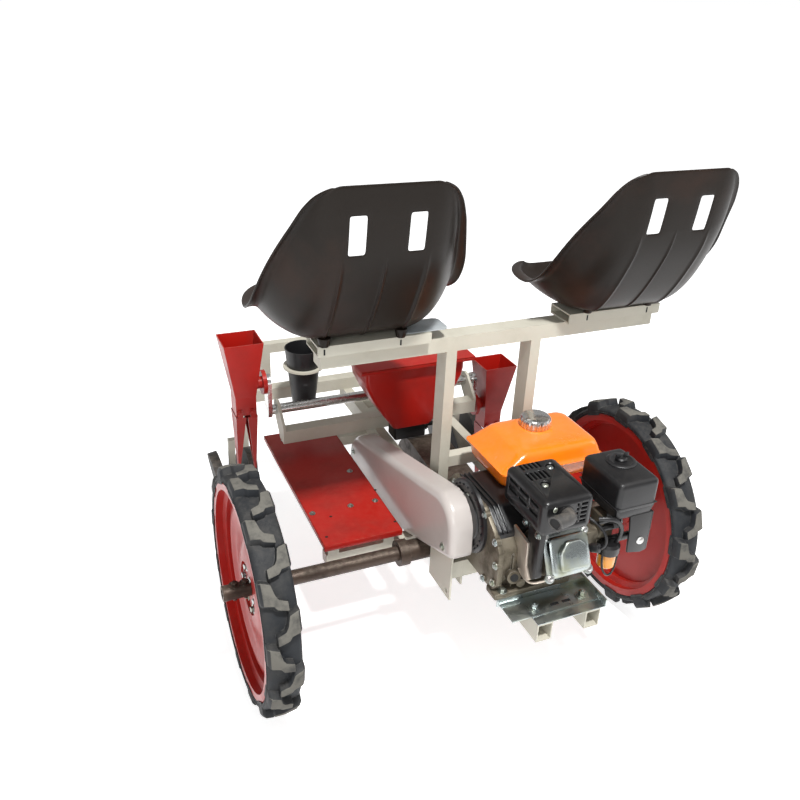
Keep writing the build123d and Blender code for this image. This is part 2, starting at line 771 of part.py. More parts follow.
with BuildPart() as press_arms:
    for name, sign in sides:
        x = sign * row_x
        arm_x = sign * press_arm_x
        box(around(arm_x, press_arm_size), around(press_y, press_arm_size), (bridge_z[0], rail_top))
        box((min(x, arm_x), max(x, arm_x)), around(press_y, press_leg), bridge_z)
        box(around(x, press_leg), around(press_y, press_leg), (press_hub_z - press_leg / 2, bridge_z[1]))
        for out in (-1, 1):
            with BuildSketch(press_axis(x, out, 0)):
                Circle(press_axle_radius)
            extrude(amount=press_half_gap + press_width / 2)
save(press_arms.part, "press_arms")

for name, sign in sides:
    x = sign * row_x
    for which, out in (("inner", -sign), ("outer", sign)):
        with BuildPart() as press_wheel:
            with BuildSketch(press_axis(x, out, press_half_gap - press_width / 2)):
                Circle(press_radius)
                Circle(press_axle_radius + running_clearance, mode=Mode.SUBTRACT)
            extrude(amount=press_width)
        save(press_wheel.part, f"press_wheel_{which}_{name}")

# Handlebar on the portal, for the person who walks behind and steers
handle_end = length - front_overhang
with BuildPart() as handlebar:
    for sign in (-1, 1):
        x = chassis_x + sign * handle_gap / 2
        with BuildLine() as path:
            FilletPolyline((x, at(rear_beam_y), portal_top), (x, at(rear_beam_y), portal_top + handle_foot),
                           (x, at(handle_end - handle_flat), handle_top), (x, at(handle_end), handle_top),
                           radius=handle_bend)
        with BuildSketch(Plane(origin=path.line @ 0, z_dir=path.line % 0)):
            Circle(handle_radius)
        sweep(path=path.line)
    foot_z = portal_top + handle_foot
    tie = (rear_beam_y + handle_tie_share * (handle_end - handle_flat - rear_beam_y),
           foot_z + handle_tie_share * (handle_top - foot_z))
    lying(tie, chassis_x - handle_gap / 2, handle_tie_radius, handle_gap)
save(handlebar.part, "handlebar")

with BuildPart() as grips:
    for name, sign in sides:
        with BuildSketch(Plane.XZ.offset(-at(handle_end))):
            with Locations((chassis_x + sign * handle_gap / 2, handle_top)):
                Circle(grip_radius)
                Circle(handle_radius, mode=Mode.SUBTRACT)
        extrude(amount=grip_length)
save(grips.part, "handle_grips")

# Seedling pots, each hung by its ring from the portal
rise = (pot_ring_z + ring_thickness - pot_z[0]) / (pot_z[1] - pot_z[0])
ring_radius = pot_bottom_radius + rise * (pot_top_radius - pot_bottom_radius)


def pot_level(x, z, radius):
    """Circle lying at height z, centred on a pot."""
    with BuildSketch(Plane.XY.offset(z)) as level:
        with Locations((x, at(pot_y))):
            Circle(radius)
    return level.sketch


with BuildPart() as pots:
    for name, sign in sides:
        x = sign * pot_x
        loft([pot_level(x, pot_z[0], pot_bottom_radius), pot_level(x, pot_z[1], pot_top_radius)])
    for name, sign in sides:
        x = sign * pot_x
        loft([pot_level(x, pot_z[0] + pot_wall, pot_bottom_radius - pot_wall),
              pot_level(x, pot_z[1], pot_top_radius - pot_wall)], mode=Mode.SUBTRACT)
save(pots.part, "seedling_pots")

with BuildPart() as pot_rings:
    for name, sign in sides:
        x = sign * pot_x
        ring_z = (pot_ring_z, pot_ring_z + ring_thickness)
        with BuildSketch(Plane.XY.offset(pot_ring_z)):
            with Locations((x, at(pot_y))):
                Circle(ring_radius + ring_width)
                Circle(ring_radius + ring_gap, mode=Mode.SUBTRACT)
        extrude(amount=ring_thickness)
        box(around(x, ring_stalk), (pot_y + ring_radius + ring_width / 2, rear_beam_y - portal_tube / 2), ring_z)
save(pot_rings.part, "pot_rings")

# Engine
with BuildPart() as engine_channels:
    for limits in base_channel_y:
        box(base_channel_x, limits, (frame_top, engine_base))
    box(front_plate_x, (engine_tube_front, base_channel_y[0][0]), (frame_top, frame_top + front_plate_thickness))
save(engine_channels.part, "engine_channels")

with BuildPart() as crankcase:
    box(crankcase_x, crankcase_y, (engine_base, crankcase_top))
    ring_face = cover_x + cover_width
    lying((engine_ring_y, engine_ring_z), ring_face, engine_ring_radius, crankcase_x[0] - ring_face)
save(crankcase.part, "crankcase")

with BuildPart() as cylinder:
    box(cylinder_x, cylinder_y, cylinder_z)
    box(head_x, head_y, head_z)
save(cylinder.part, "cylinder")

with BuildPart() as fan_housing:
    lying((crank_y_engine, crank_z_engine), crankcase_x[1], fan_radius, fan_depth)
save(fan_housing.part, "fan_housing")

with BuildPart() as fuel_tank:
    box(tank_x, tank_y, tank_z)
    for y in tank_foot_y:
        box(tank_foot_x, (y, y + tank_foot_width), (crankcase_top, tank_z[0]))
    with BuildSketch(Plane.XY.offset(tank_z[1])):
        with Locations((tank_cap[0], at(tank_cap[1]))):
            Circle(tank_cap_radius)
    extrude(amount=tank_cap_height)
save(fuel_tank.part, "fuel_tank")

with BuildPart() as muffler:
    box(muffler_x, muffler_y, muffler_z)
    with BuildSketch(Plane.XZ.offset(-at(muffler_y[0]))):
        with Locations((spout_x, spout_z)):
            Circle(spout_radius)
    extrude(amount=front_overhang + muffler_y[0])
save(muffler.part, "muffler")

with BuildPart() as air_cleaner:
    box(air_cleaner_x, air_cleaner_y, air_cleaner_z)
save(air_cleaner.part, "air_cleaner")

with BuildPart() as carburettor:
    box(carburettor_x, carburettor_y, carburettor_z)
save(carburettor.part, "carburettor")
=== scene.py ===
import math

import bmesh
import bpy
from mathutils import Matrix, Vector


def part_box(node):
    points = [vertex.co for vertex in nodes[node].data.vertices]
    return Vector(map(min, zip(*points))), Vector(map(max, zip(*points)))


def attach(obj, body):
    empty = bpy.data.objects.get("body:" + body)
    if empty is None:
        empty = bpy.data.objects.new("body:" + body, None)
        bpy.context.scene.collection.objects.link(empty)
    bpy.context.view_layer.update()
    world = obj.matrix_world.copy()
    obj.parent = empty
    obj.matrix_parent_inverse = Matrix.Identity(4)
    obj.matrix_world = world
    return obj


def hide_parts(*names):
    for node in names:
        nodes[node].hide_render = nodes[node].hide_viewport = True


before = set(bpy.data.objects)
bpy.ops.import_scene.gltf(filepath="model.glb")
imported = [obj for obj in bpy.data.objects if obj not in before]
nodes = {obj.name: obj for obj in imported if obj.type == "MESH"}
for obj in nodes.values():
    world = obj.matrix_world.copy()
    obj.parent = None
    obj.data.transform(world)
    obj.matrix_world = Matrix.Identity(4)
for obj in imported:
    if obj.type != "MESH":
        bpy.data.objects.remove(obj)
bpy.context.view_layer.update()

# Sizes are written in millimetres as the drawing has them: y from the drive axle, x from the wheels' middle
MIDDLE_X = 35
AXLE_Y = 367.5
X_AXIS = Vector((1, 0, 0))
Y_AXIS = Vector((0, 1, 0))
Z_AXIS = Vector((0, 0, 1))
MERGE_DISTANCE = 0.00002


def place(x, y, z):
    """Point in metres of a place on the drawing."""
    return Vector(((x - MIDDLE_X) / 1000, (y - AXLE_Y) / 1000, z / 1000))


def add_to_scene(name, data):
    item = bpy.data.objects.new(name, data)
    bpy.context.scene.collection.objects.link(item)
    return item


# Shader group shared by the finishes


def new_group(name, inputs, outputs):
    """Empty shader group with its sockets, and the nodes that stand for them inside."""
    group = bpy.data.node_groups.new(name, "ShaderNodeTree")
    for label, kind, value in inputs:
        socket = group.interface.new_socket(label, in_out="INPUT", socket_type=kind)
        socket.default_value = value
    for label, kind in outputs:
        group.interface.new_socket(label, in_out="OUTPUT", socket_type=kind)
    return group, group.nodes.new("NodeGroupInput"), group.nodes.new("NodeGroupOutput")


def add_node(tree, kind, values=None, **settings):
    """Node with its settings and the values of its unlinked inputs."""
    node = tree.nodes.new(kind)
    for name, value in settings.items():
        setattr(node, name, value)
    for name, value in (values or {}).items():
        node.inputs[name].default_value = value
    return node


def spread(tree, source, low, high):
    """Map a noise value between low and high to the whole range from 0 to 1."""
    limits = {"From Min": low, "From Max": high}
    node = add_node(tree, "ShaderNodeMapRange", limits, interpolation_type="SMOOTHSTEP")
    tree.links.new(source, node.inputs["Value"])
    return node.outputs["Result"]


def multiply(tree, first, second):
    node = add_node(tree, "ShaderNodeMath", operation="MULTIPLY")
    tree.links.new(first, node.inputs[0])
    tree.links.new(second, node.inputs[1])
    return node.outputs[0]


def mix(tree, kind, share, first, second):
    """Go from first to second by share; kind is RGBA for colours or FLOAT for values."""
    node = add_node(tree, "ShaderNodeMix", data_type=kind)
    for name, source in (("Factor", share), ("A", first), ("B", second)):
        tree.links.new(source, node.inputs[name])
    return node.outputs["Result"]


def build_used_surface():
    """Base colour with blotches of grime, on the seat partly painted sheen, dust on what faces up, worn edges and a
    fine grain.
    """
    group, given, result = new_group(
        "used_surface",
        (("Colour", "NodeSocketColor", (0.5, 0.5, 0.5, 1)),
         ("Grime Colour", "NodeSocketColor", (0.1, 0.08, 0.06, 1)),
         ("Grime", "NodeSocketFloat", 0.3), ("Grime Scale", "NodeSocketFloat", 9.0),
         ("Dust Colour", "NodeSocketColor", (0.45, 0.38, 0.3, 1)), ("Dust", "NodeSocketFloat", 0.15),
         ("Edge Colour", "NodeSocketColor", (0.3, 0.28, 0.26, 1)), ("Edge Wear", "NodeSocketFloat", 0.3),
         ("Edge Width", "NodeSocketFloat", 0.002),
         ("Roughness", "NodeSocketFloat", 0.4), ("Grime Roughness", "NodeSocketFloat", 0.75),
         ("Grain Scale", "NodeSocketFloat", 400.0), ("Grain Depth", "NodeSocketFloat", 0.1)),
        (("Colour", "NodeSocketColor"), ("Roughness", "NodeSocketFloat"), ("Normal", "NodeSocketVector")))
    link = group.links.new
    where = add_node(group, "ShaderNodeTexCoord")
    surface = add_node(group, "ShaderNodeNewGeometry")
    blotch = add_node(group, "ShaderNodeTexNoise", {"Detail": 6.0, "Roughness": 0.62})
    link(where.outputs["Object"], blotch.inputs["Vector"])
    link(given.outputs["Grime Scale"], blotch.inputs["Scale"])
    # blotches in the grime colour; the seat's lighter reddish-brown one is painted sheen as well as dirt
    grime = multiply(group, spread(group, blotch.outputs["Fac"], 0.44, 0.7), given.outputs["Grime"])
    fine = add_node(group, "ShaderNodeTexNoise", {"Scale": 60.0, "Detail": 5.0, "Roughness": 0.7})
    link(where.outputs["Object"], fine.inputs["Vector"])
    facing = add_node(group, "ShaderNodeSeparateXYZ")
    link(surface.outputs["Normal"], facing.inputs[0])
    upward = spread(group, facing.outputs["Z"], 0.35, 0.95)
    settled = multiply(group, upward, spread(group, fine.outputs["Fac"], 0.3, 0.72))
    dust = multiply(group, settled, given.outputs["Dust"])
    rounded = add_node(group, "ShaderNodeBevel", samples=4)
    link(given.outputs["Edge Width"], rounded.inputs["Radius"])
    square = add_node(group, "ShaderNodeVectorMath", operation="DOT_PRODUCT")
    link(rounded.outputs["Normal"], square.inputs[0])
    link(surface.outputs["Normal"], square.inputs[1])
    edge = add_node(group, "ShaderNodeMapRange", {"From Min": 0.995, "From Max": 0.86})
    link(square.outputs["Value"], edge.inputs["Value"])
    rubbed = multiply(group, edge.outputs["Result"], spread(group, fine.outputs["Fac"], 0.42, 0.62))
    worn = multiply(group, rubbed, given.outputs["Edge Wear"])
    colour = mix(group, "RGBA", grime, given.outputs["Colour"], given.outputs["Grime Colour"])
    colour = mix(group, "RGBA", dust, colour, given.outputs["Dust Colour"])
    link(mix(group, "RGBA", worn, colour, given.outputs["Edge Colour"]), result.inputs["Colour"])
    rough = mix(group, "FLOAT", grime, given.outputs["Roughness"], given.outputs["Grime Roughness"])
    link(mix(group, "FLOAT", dust, rough, given.outputs["Grime Roughness"]), result.inputs["Roughness"])
    grain = add_node(group, "ShaderNodeTexNoise", {"Detail": 3.0})
    link(where.outputs["Object"], grain.inputs["Vector"])
    link(given.outputs["Grain Scale"], grain.inputs["Scale"])
    bump = add_node(group, "ShaderNodeBump", {"Distance": 0.001})
    link(given.outputs["Grain Depth"], bump.inputs["Strength"])
    link(grain.outputs["Fac"], bump.inputs["Height"])
    link(bump.outputs["Normal"], result.inputs["Normal"])
    return group


USED_SURFACE = build_used_surface()


def finish_of(name, colour, roughness, metallic=0.0, coat=0.0, specular=0.5, **group_values):
    """Material on the used surface; further values are named as the group's inputs are."""
    material = bpy.data.materials.new(name)
    material.use_nodes = True
    tree = material.node_tree
    shader = tree.nodes["Principled BSDF"]
    shader.inputs["Metallic"].default_value = metallic
    shader.inputs["Coat Weight"].default_value = coat
    shader.inputs["Coat Roughness"].default_value = 0.12
    shader.inputs["Specular IOR Level"].default_value = specular
    used = tree.nodes.new("ShaderNodeGroup")
    used.node_tree = USED_SURFACE
    used.inputs["Colour"].default_value = (*colour, 1)
    used.inputs["Roughness"].default_value = roughness
    for label, value in group_values.items():
        socket = used.inputs[label.replace("_", " ").title()]
        socket.default_value = (*value, 1) if isinstance(value, tuple) else value
    tree.links.new(used.outputs["Colour"], shader.inputs["Base Color"])
    tree.links.new(used.outputs["Roughness"], shader.inputs["Roughness"])
    tree.links.new(used.outputs["Normal"], shader.inputs["Normal"])
    return material


RED = finish_of(
    "red_enamel", (0.36, 0.009, 0.005), 0.34, coat=0.1, specular=0.3,
    grime=0.45, grime_colour=(0.16, 0.014, 0.01), grime_scale=6.0, dust=0.08, dust_colour=(0.45, 0.16, 0.11),
    edge_wear=0.5, edge_colour=(0.27, 0.13, 0.09), grain_scale=90.0, grain_depth=0.05)
CREAM = finish_of(
    "cream_enamel", (0.52, 0.5, 0.42), 0.42,
    grime=0.35, grime_colour=(0.33, 0.3, 0.23), grime_scale=7.0, dust=0.12,
    edge_wear=0.45, edge_colour=(0.3, 0.26, 0.2), grain_depth=0.05)
COVER_WHITE = finish_of(
    "cover_white", (0.47, 0.43, 0.405), 0.28, coat=0.3,
    grime=0.2, grime_colour=(0.36, 0.31, 0.27), dust=0.05,
    edge_wear=0.2, edge_colour=(0.4, 0.37, 0.33), grain_depth=0.02)
TYRE_RUBBER = finish_of(
    "tyre_rubber", (0.012, 0.014, 0.017), 0.68, specular=0.35,
    grime=0.5, grime_colour=(0.045, 0.043, 0.04), grime_scale=14.0, dust=0.22, dust_colour=(0.14, 0.13, 0.115),
    edge_wear=0.5, edge_colour=(0.1, 0.098, 0.09), edge_width=0.004, grain_scale=250.0, grain_depth=0.35)
LUG_DUST = finish_of(
    "lug_dust", (0.13, 0.124, 0.108), 0.85, specular=0.25,
    grime=0.75, grime_colour=(0.03, 0.03, 0.031), grime_scale=26.0, dust=0.3, dust_colour=(0.2, 0.19, 0.165),
    edge_wear=0.3, grain_scale=250.0, grain_depth=0.35)
SPOUT_GREY = finish_of(
    "spout_grey", (0.05, 0.048, 0.046), 0.5,
    grime=0.4, grime_colour=(0.02, 0.018, 0.016), dust=0.15,
    edge_wear=0.5, edge_colour=(0.14, 0.13, 0.12), grain_depth=0.2)
GREASY = finish_of(
    "greasy_steel", (0.055, 0.036, 0.026), 0.42, metallic=0.55,
    grime=0.8, grime_colour=(0.03, 0.02, 0.014), grime_scale=22.0, dust=0.2,
    edge_wear=0.5, edge_colour=(0.22, 0.17, 0.13), grain_depth=0.5)
# its grime colour is lighter and reddish-brown: painted sheen as well as dirt
SEAT_BROWN = finish_of(
    "seat_plastic", (0.011, 0.008, 0.006), 0.36, specular=0.16,
    grime=0.5, grime_colour=(0.036, 0.017, 0.011), grime_scale=3.5, grime_roughness=0.48,
    dust=0.1, dust_colour=(0.07, 0.05, 0.038), edge_wear=0.2, edge_colour=(0.07, 0.045, 0.035),
    grain_scale=500.0, grain_depth=0.12)
ZINC = finish_of(
    "zinc_plate", (0.38, 0.42, 0.42), 0.26, metallic=1.0,
    grime=0.6, grime_colour=(0.3, 0.3, 0.16), grime_scale=16.0, dust=0.2,
    edge_wear=0.3, edge_colour=(0.6, 0.6, 0.58), grain_depth=0.08)
CAST_ALLOY = finish_of(
    "cast_alloy", (0.15, 0.13, 0.095), 0.46, metallic=0.6,
    grime=0.8, grime_colour=(0.05, 0.038, 0.024), grime_scale=18.0, dust=0.12,
    edge_wear=0.6, edge_colour=(0.45, 0.44, 0.4), grain_scale=600.0, grain_depth=0.4)
BLACK_ENAMEL = finish_of(
    "black_enamel", (0.007, 0.007, 0.008), 0.3, specular=0.42,
    grime=0.3, grime_colour=(0.018, 0.016, 0.014), grime_roughness=0.5, dust=0.08, dust_colour=(0.09, 0.08, 0.07),
    edge_wear=0.3, edge_colour=(0.06, 0.062, 0.065), grain_scale=700.0, grain_depth=0.1)
BLACK_PLASTIC = finish_of(
    "black_plastic", (0.009, 0.009, 0.01), 0.38, specular=0.4,
    grime=0.3, grime_colour=(0.02, 0.018, 0.017), grime_roughness=0.55, dust=0.1, dust_colour=(0.08, 0.072, 0.065),
    edge_wear=0.25, edge_colour=(0.05, 0.05, 0.052), grain_scale=900.0, grain_depth=0.12)
TANK_ORANGE = finish_of(
    "tank_orange", (0.95, 0.2, 0.006), 0.2, coat=0.5,
    grime=0.12, grime_colour=(0.5, 0.08, 0.008), dust=0.05,
    edge_wear=0.1, edge_colour=(0.95, 0.35, 0.08), grain_depth=0.0)
CHROME = finish_of(
    "bright_steel", (0.66, 0.66, 0.65), 0.2, metallic=1.0,
    grime=0.35, grime_colour=(0.3, 0.28, 0.25), grime_scale=40.0, dust=0.1,
    edge_wear=0.2, edge_colour=(0.8, 0.8, 0.8), grain_depth=0.03)
GRIP = finish_of("grip_rubber", (0.02, 0.02, 0.021), 0.65, grime=0.3, dust=0.2, edge_wear=0.2, grain_depth=0.3)
AMBER = finish_of(
    "amber_cup", (0.75, 0.3, 0.03), 0.15, coat=0.5, grime=0.2, grime_colour=(0.4, 0.12, 0.01), dust=0.05)
TIN = finish_of(
    "tin_shroud", (0.62, 0.55, 0.47), 0.3, metallic=0.7,
    grime=0.4, grime_colour=(0.35, 0.26, 0.2), dust=0.15,
    edge_wear=0.3, edge_colour=(0.7, 0.66, 0.6), grain_depth=0.05)
SLIDE_GREY = finish_of(
    "slide_grey", (0.42, 0.46, 0.48), 0.4, metallic=0.3,
    grime=0.35, grime_colour=(0.3, 0.3, 0.27), dust=0.15,
    edge_wear=0.4, edge_colour=(0.5, 0.5, 0.48), grain_depth=0.05)
# Near-black finish of painted shade, for the shaded insides of holes, slots and mouths that are not cut
PAINTED_HOLE_SHADE = finish_of("painted_hole_shade", (0.006, 0.006, 0.006), 0.8, grime=0.0, dust=0.0, edge_wear=0.0)

# Mesh helpers: sizes in millimetres, centres and corners as points from place()


def edges_at(verts):
    """Every edge that meets one of the verts, each once and always in the same order."""
    return list(dict.fromkeys(edge for vert in verts for edge in vert.link_edges))


def soften(bm, edges, rounding, segments=2, clamp=True):
    """Round edges off."""
    bmesh.ops.bevel(bm, geom=list(edges), offset=rounding / 1000, segments=segments, affect="EDGES", profile=0.5,
                    material=-1, clamp_overlap=clamp)


def block(bm, x, y, z, rounding=0.0, segments=2):
    """Box between limits with every edge rounded."""
    low, high = place(x[0], y[0], z[0]), place(x[1], y[1], z[1])
    matrix = Matrix.Translation((low + high) / 2) @ Matrix.Diagonal((*(high - low), 1))
    verts = bmesh.ops.create_cube(bm, size=1, matrix=matrix)["verts"]
    if rounding:
        soften(bm, edges_at(verts), rounding, segments)


def turn_to(axis):
    """Rotation that brings Z onto the axis."""
    return Z_AXIS.rotation_difference(Vector(axis)).to_matrix().to_4x4()


def rod(bm, centre, axis, radius, length, sides=24, end_radius=None, rounding=0.0):
    """Bar from centre along the axis."""
    axis = Vector(axis).normalized()
    matrix = Matrix.Translation(centre + axis * length / 2000) @ turn_to(axis)
    far = radius if end_radius is None else end_radius
    verts = bmesh.ops.create_cone(bm, cap_ends=True, segments=sides, radius1=radius / 1000, radius2=far / 1000,
                                  depth=length / 1000, matrix=matrix)["verts"]
    if rounding:
        rims = [edge for edge in edges_at(verts) if any(len(face.verts) > 4 for face in edge.link_faces)]
        soften(bm, rims, rounding, clamp=False)


def turned(bm, centre, axis, profile, steps=48):
    """Shape spun about the axis through centre, from (radius, height) points."""
    axis = Vector(axis).normalized()
    matrix = Matrix.Translation(centre) @ turn_to(axis)
    verts = [bm.verts.new(matrix @ Vector((radius / 1000, 0, height / 1000))) for radius, height in profile]
    edges = [bm.edges.new(pair) for pair in zip(verts, verts[1:])]
    bmesh.ops.spin(bm, geom=verts + edges, cent=centre, axis=axis, angle=math.tau, steps=steps, use_merge=True)


def circle_spots(centre, axis, radius, count, shift=0.0):
    """Points spaced evenly round the X or Z axis through centre."""
    first, second = (Y_AXIS, Z_AXIS) if axis == X_AXIS else (X_AXIS, Y_AXIS)
    turns = [math.tau * (index + shift) / count for index in range(count)]
    return [centre + (first * math.cos(turn) + second * math.sin(turn)) * radius / 1000 for turn in turns]


def bolt(bm, centre, axis, radius, washer=1.7):
    """Hexagon head on its washer, whose radius is a share of the head's."""
    axis = Vector(axis).normalized()
    if washer:
        rod(bm, centre, axis, radius * washer, radius * 0.25, sides=20)
    rod(bm, centre, axis, radius, radius * 1.1, sides=6, rounding=radius * 0.12)


def dome_screw(bm, centre, axis, radius):
    """Round dome head with a flat rim."""
    height = radius * 0.62
    turned(bm, centre, axis, [(radius, 0), (radius, height * 0.2), (radius * 0.84, height * 0.62),
                              (radius * 0.5, height * 0.92), (0, height)], steps=28)


def prism(bm, corners, offset, rounding=0.0, segments=2):
    """Flat outline pushed along offset, its long edges and rims rounded."""
    face = bm.faces.new([bm.verts.new(corner) for corner in corners])
    made = bmesh.ops.extrude_face_region(bm, geom=[face])["geom"]
    verts = [item for item in made if isinstance(item, bmesh.types.BMVert)]
    bmesh.ops.translate(bm, verts=verts, vec=offset)
    soften(bm, edges_at([*verts, *face.verts]), rounding, segments)


def side_plate(bm, x, width, outline, rounding, segments=2):
    """Plate from x to the right, with its outline as (y, z) points."""
    prism(bm, [place(x, y, z) for y, z in outline], X_AXIS * width / 1000, rounding, segments)


def rounded_ring(bm, spot, x_limits, y_limits, corner, steps):
    """Edges round a rectangle with round corners; spot makes a point of its two sizes."""
    (x0, x1), (y0, y1) = x_limits, y_limits
    ring = []
    for middle_x, middle_y, start in ((x1 - corner, y1 - corner, 0), (x0 + corner, y1 - corner, 90),
                                      (x0 + corner, y0 + corner, 180), (x1 - corner, y0 + corner, 270)):
        for step in range(steps + 1):
            turn = math.radians(start + 90 * step / steps)
            across, along = middle_x + corner * math.cos(turn), middle_y + corner * math.sin(turn)
            ring.append(bm.verts.new(spot(across, along)))
    return [bm.edges.new(pair) for pair in zip(ring, ring[1:] + ring[:1])]


def skin(bm, rings, closed=(0, -1)):
    """Walls between rings of edges, and flat ends on the ones that are closed."""
    for first, second in zip(rings, rings[1:]):
        bmesh.ops.bridge_loops(bm, edges=first + second)
    for end in closed:
        bm.faces.new([edge.verts[0] for edge in rings[end]])


def cut_away(piece, cutter):
    """Take closed shapes out of a piece."""
    bmesh.ops.recalc_face_normals(cutter, faces=cutter.faces)
    mesh = bpy.data.meshes.new("cutter")
    cutter.to_mesh(mesh)
    cutter.free()
    tool = add_to_scene("cutter", mesh)
    cut = piece.modifiers.new("cut", "BOOLEAN")
    cut.object = tool
    cut.operation = "DIFFERENCE"
    cut.solver = "EXACT"
    bpy.context.view_layer.update()
    whole = piece.data
    shaped = bpy.data.meshes.new_from_object(piece.evaluated_get(bpy.context.evaluated_depsgraph_get()))
    piece.modifiers.clear()
    piece.data = shaped
    bpy.data.meshes.remove(whole)
    bpy.data.objects.remove(tool)
    bpy.data.meshes.remove(mesh)


def make_object(bm, name, finish, body="chassis", sharp=30, replaced=()):
    """Finish a mesh: merge, outward faces, smooth between sharp edges, ride on its body."""
    bmesh.ops.remove_doubles(bm, verts=bm.verts, dist=MERGE_DISTANCE)
    bmesh.ops.recalc_face_normals(bm, faces=bm.faces)
    for face in bm.faces:
        face.smooth = True
    for edge in bm.edges:
        edge.smooth = edge.calc_face_angle(0) < math.radians(sharp)
    mesh = bpy.data.meshes.new(name)
    bm.to_mesh(mesh)
    bm.free()
    mesh.materials.append(finish)
    piece = add_to_scene(name, mesh)
    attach(piece, body)
    if replaced:
        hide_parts(*replaced)
    return piece


def pipe(name, points, radius, finish):
    """Round bar or hose on the chassis along (x, y, z) points."""
    curve = bpy.data.curves.new(name, "CURVE")
    curve.dimensions = "3D"
    curve.bevel_depth = radius / 1000
    curve.bevel_resolution = 4
    curve.use_fill_caps = True
    spline = curve.splines.new("NURBS")
    spline.points.add(len(points) - 1)
    for point, where in zip(spline.points, points):
        point.co = (*place(*where), 1)
    spline.use_endpoint_u = True
    spline.order_u = 3
    spline.resolution_u = 8
    line = add_to_scene(name + "_line", curve)
    bpy.context.view_layer.update()
    mesh = bpy.data.meshes.new_from_object(line)
    bpy.data.objects.remove(line)
    mesh.name = name
    for polygon in mesh.polygons:
        polygon.use_smooth = True
    mesh.materials.clear()
    mesh.materials.append(finish)
    piece = add_to_scene(name, mesh)
    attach(piece, "chassis")


# Tyres: a rounded carcass with stepped lugs, alternating, whose outer ends wrap down the sidewall

WHEEL_RADIUS = 300
TRACK = 1070
LUG_COUNT = 26
LUG_FOOT = 17
LUG_CROWN = 13
LUG_BEVEL = 1.6
DUSTY_RADIUS = 293.5
TYRE_SECTION = ((263, -36), (266, -39.5), (272, -39.8), (277, -37), (280, -30), (281, -16), (281, 16), (280, 30),
                (277, 37), (272, 39.8), (266, 39.5), (263, 36), (252, 34), (250, 30), (250, -30), (252, -34),
                (263, -36))
# sections of a lug: across the tread, round the tread, radius at foot and crown, share of the full width
LUG_SECTIONS = ((-16, -25, 274, 299, 0.75), (3, -19, 274, 300, 0.85), (9, -13, 274, 300, 1.15),
                (15, 3, 274, 300, 1.75), (34, 8, 270, 297, 1.85), (40, 10, 260, 288, 1.7), (40, 10, 257, 268, 1.6))
RIM_LIP = ((260, 35), (264, 36.5), (266, 35), (264, 33.5), (260, 34), (260, 35))
RIM_OUTSIDE = ((231, 2.2), (214, 2.6), (206, 9), (196, 10.5), (186, 9), (178, 3.2), (120, 2.4), (108, 8), (92, 13),
               (66, 14.5), (64, 2.2))
RIM_INSIDE = ((231, 2.2), (214, 2.6), (206, 2.8), (64, 2.4))
HUB_BOLT_CIRCLE = 52
HUB_HALF = 7.8
AXLE_END = 76
PIN_REACH = (20, 46)
PIN_LENGTH = 52
PIN_BOLT_Z = 18.5


def make_lug(face):
    """One lug at the top of a wheel centred on the origin, on the side that face gives."""
    lug = bmesh.new()
    sections = []
    for across, lean, bottom, top, share in LUG_SECTIONS:
        corners = ((-LUG_FOOT, bottom), (-LUG_CROWN, top), (LUG_CROWN, top), (LUG_FOOT, bottom))
        sections.append([lug.verts.new(Vector((across * face, lean + wide * share, height)) / 1000)
                         for wide, height in corners])
    for first, second in zip(sections, sections[1:]):
        for corner in range(4):
            follow = (corner + 1) % 4
            lug.faces.new((first[corner], first[follow], second[follow], second[corner]))
    lug.faces.new(sections[0])
    lug.faces.new(sections[-1])
    bmesh.ops.recalc_face_normals(lug, faces=lug.faces)
    soften(lug, lug.edges, LUG_BEVEL)
    return lug


def make_tyre(side, sign):
    centre = place(sign * TRACK / 2, 0, WHEEL_RADIUS)
    bm = bmesh.new()
    turned(bm, centre, X_AXIS, TYRE_SECTION, steps=104)
    bmesh.ops.remove_doubles(bm, verts=bm.verts, dist=MERGE_DISTANCE)
    for index in range(LUG_COUNT):
        lug = make_lug(1 if index % 2 else -1)
        spin = Matrix.Rotation(math.tau * index / LUG_COUNT, 4, "X")
        bmesh.ops.transform(lug, matrix=Matrix.Translation(centre) @ spin, verts=lug.verts)
        mesh = bpy.data.meshes.new("lug")
        lug.to_mesh(mesh)
        lug.free()
        bm.from_mesh(mesh)
        bpy.data.meshes.remove(mesh)
    for seam in (-39.9, 39.9):
        turned(bm, centre, X_AXIS, [(268, seam - 0.8), (270, seam + 0.5), (272, seam - 0.8)], steps=96)
    piece = make_object(bm, f"tyre_{side}_lugged", TYRE_RUBBER, f"wheel_{side}", 38, [f"tyre_{side}"])
    piece.data.materials.append(LUG_DUST)
    for polygon in piece.data.polygons:
        reach = polygon.center - centre
        if math.hypot(reach.y, reach.z) > DUSTY_RADIUS / 1000:
            polygon.material_index = 1


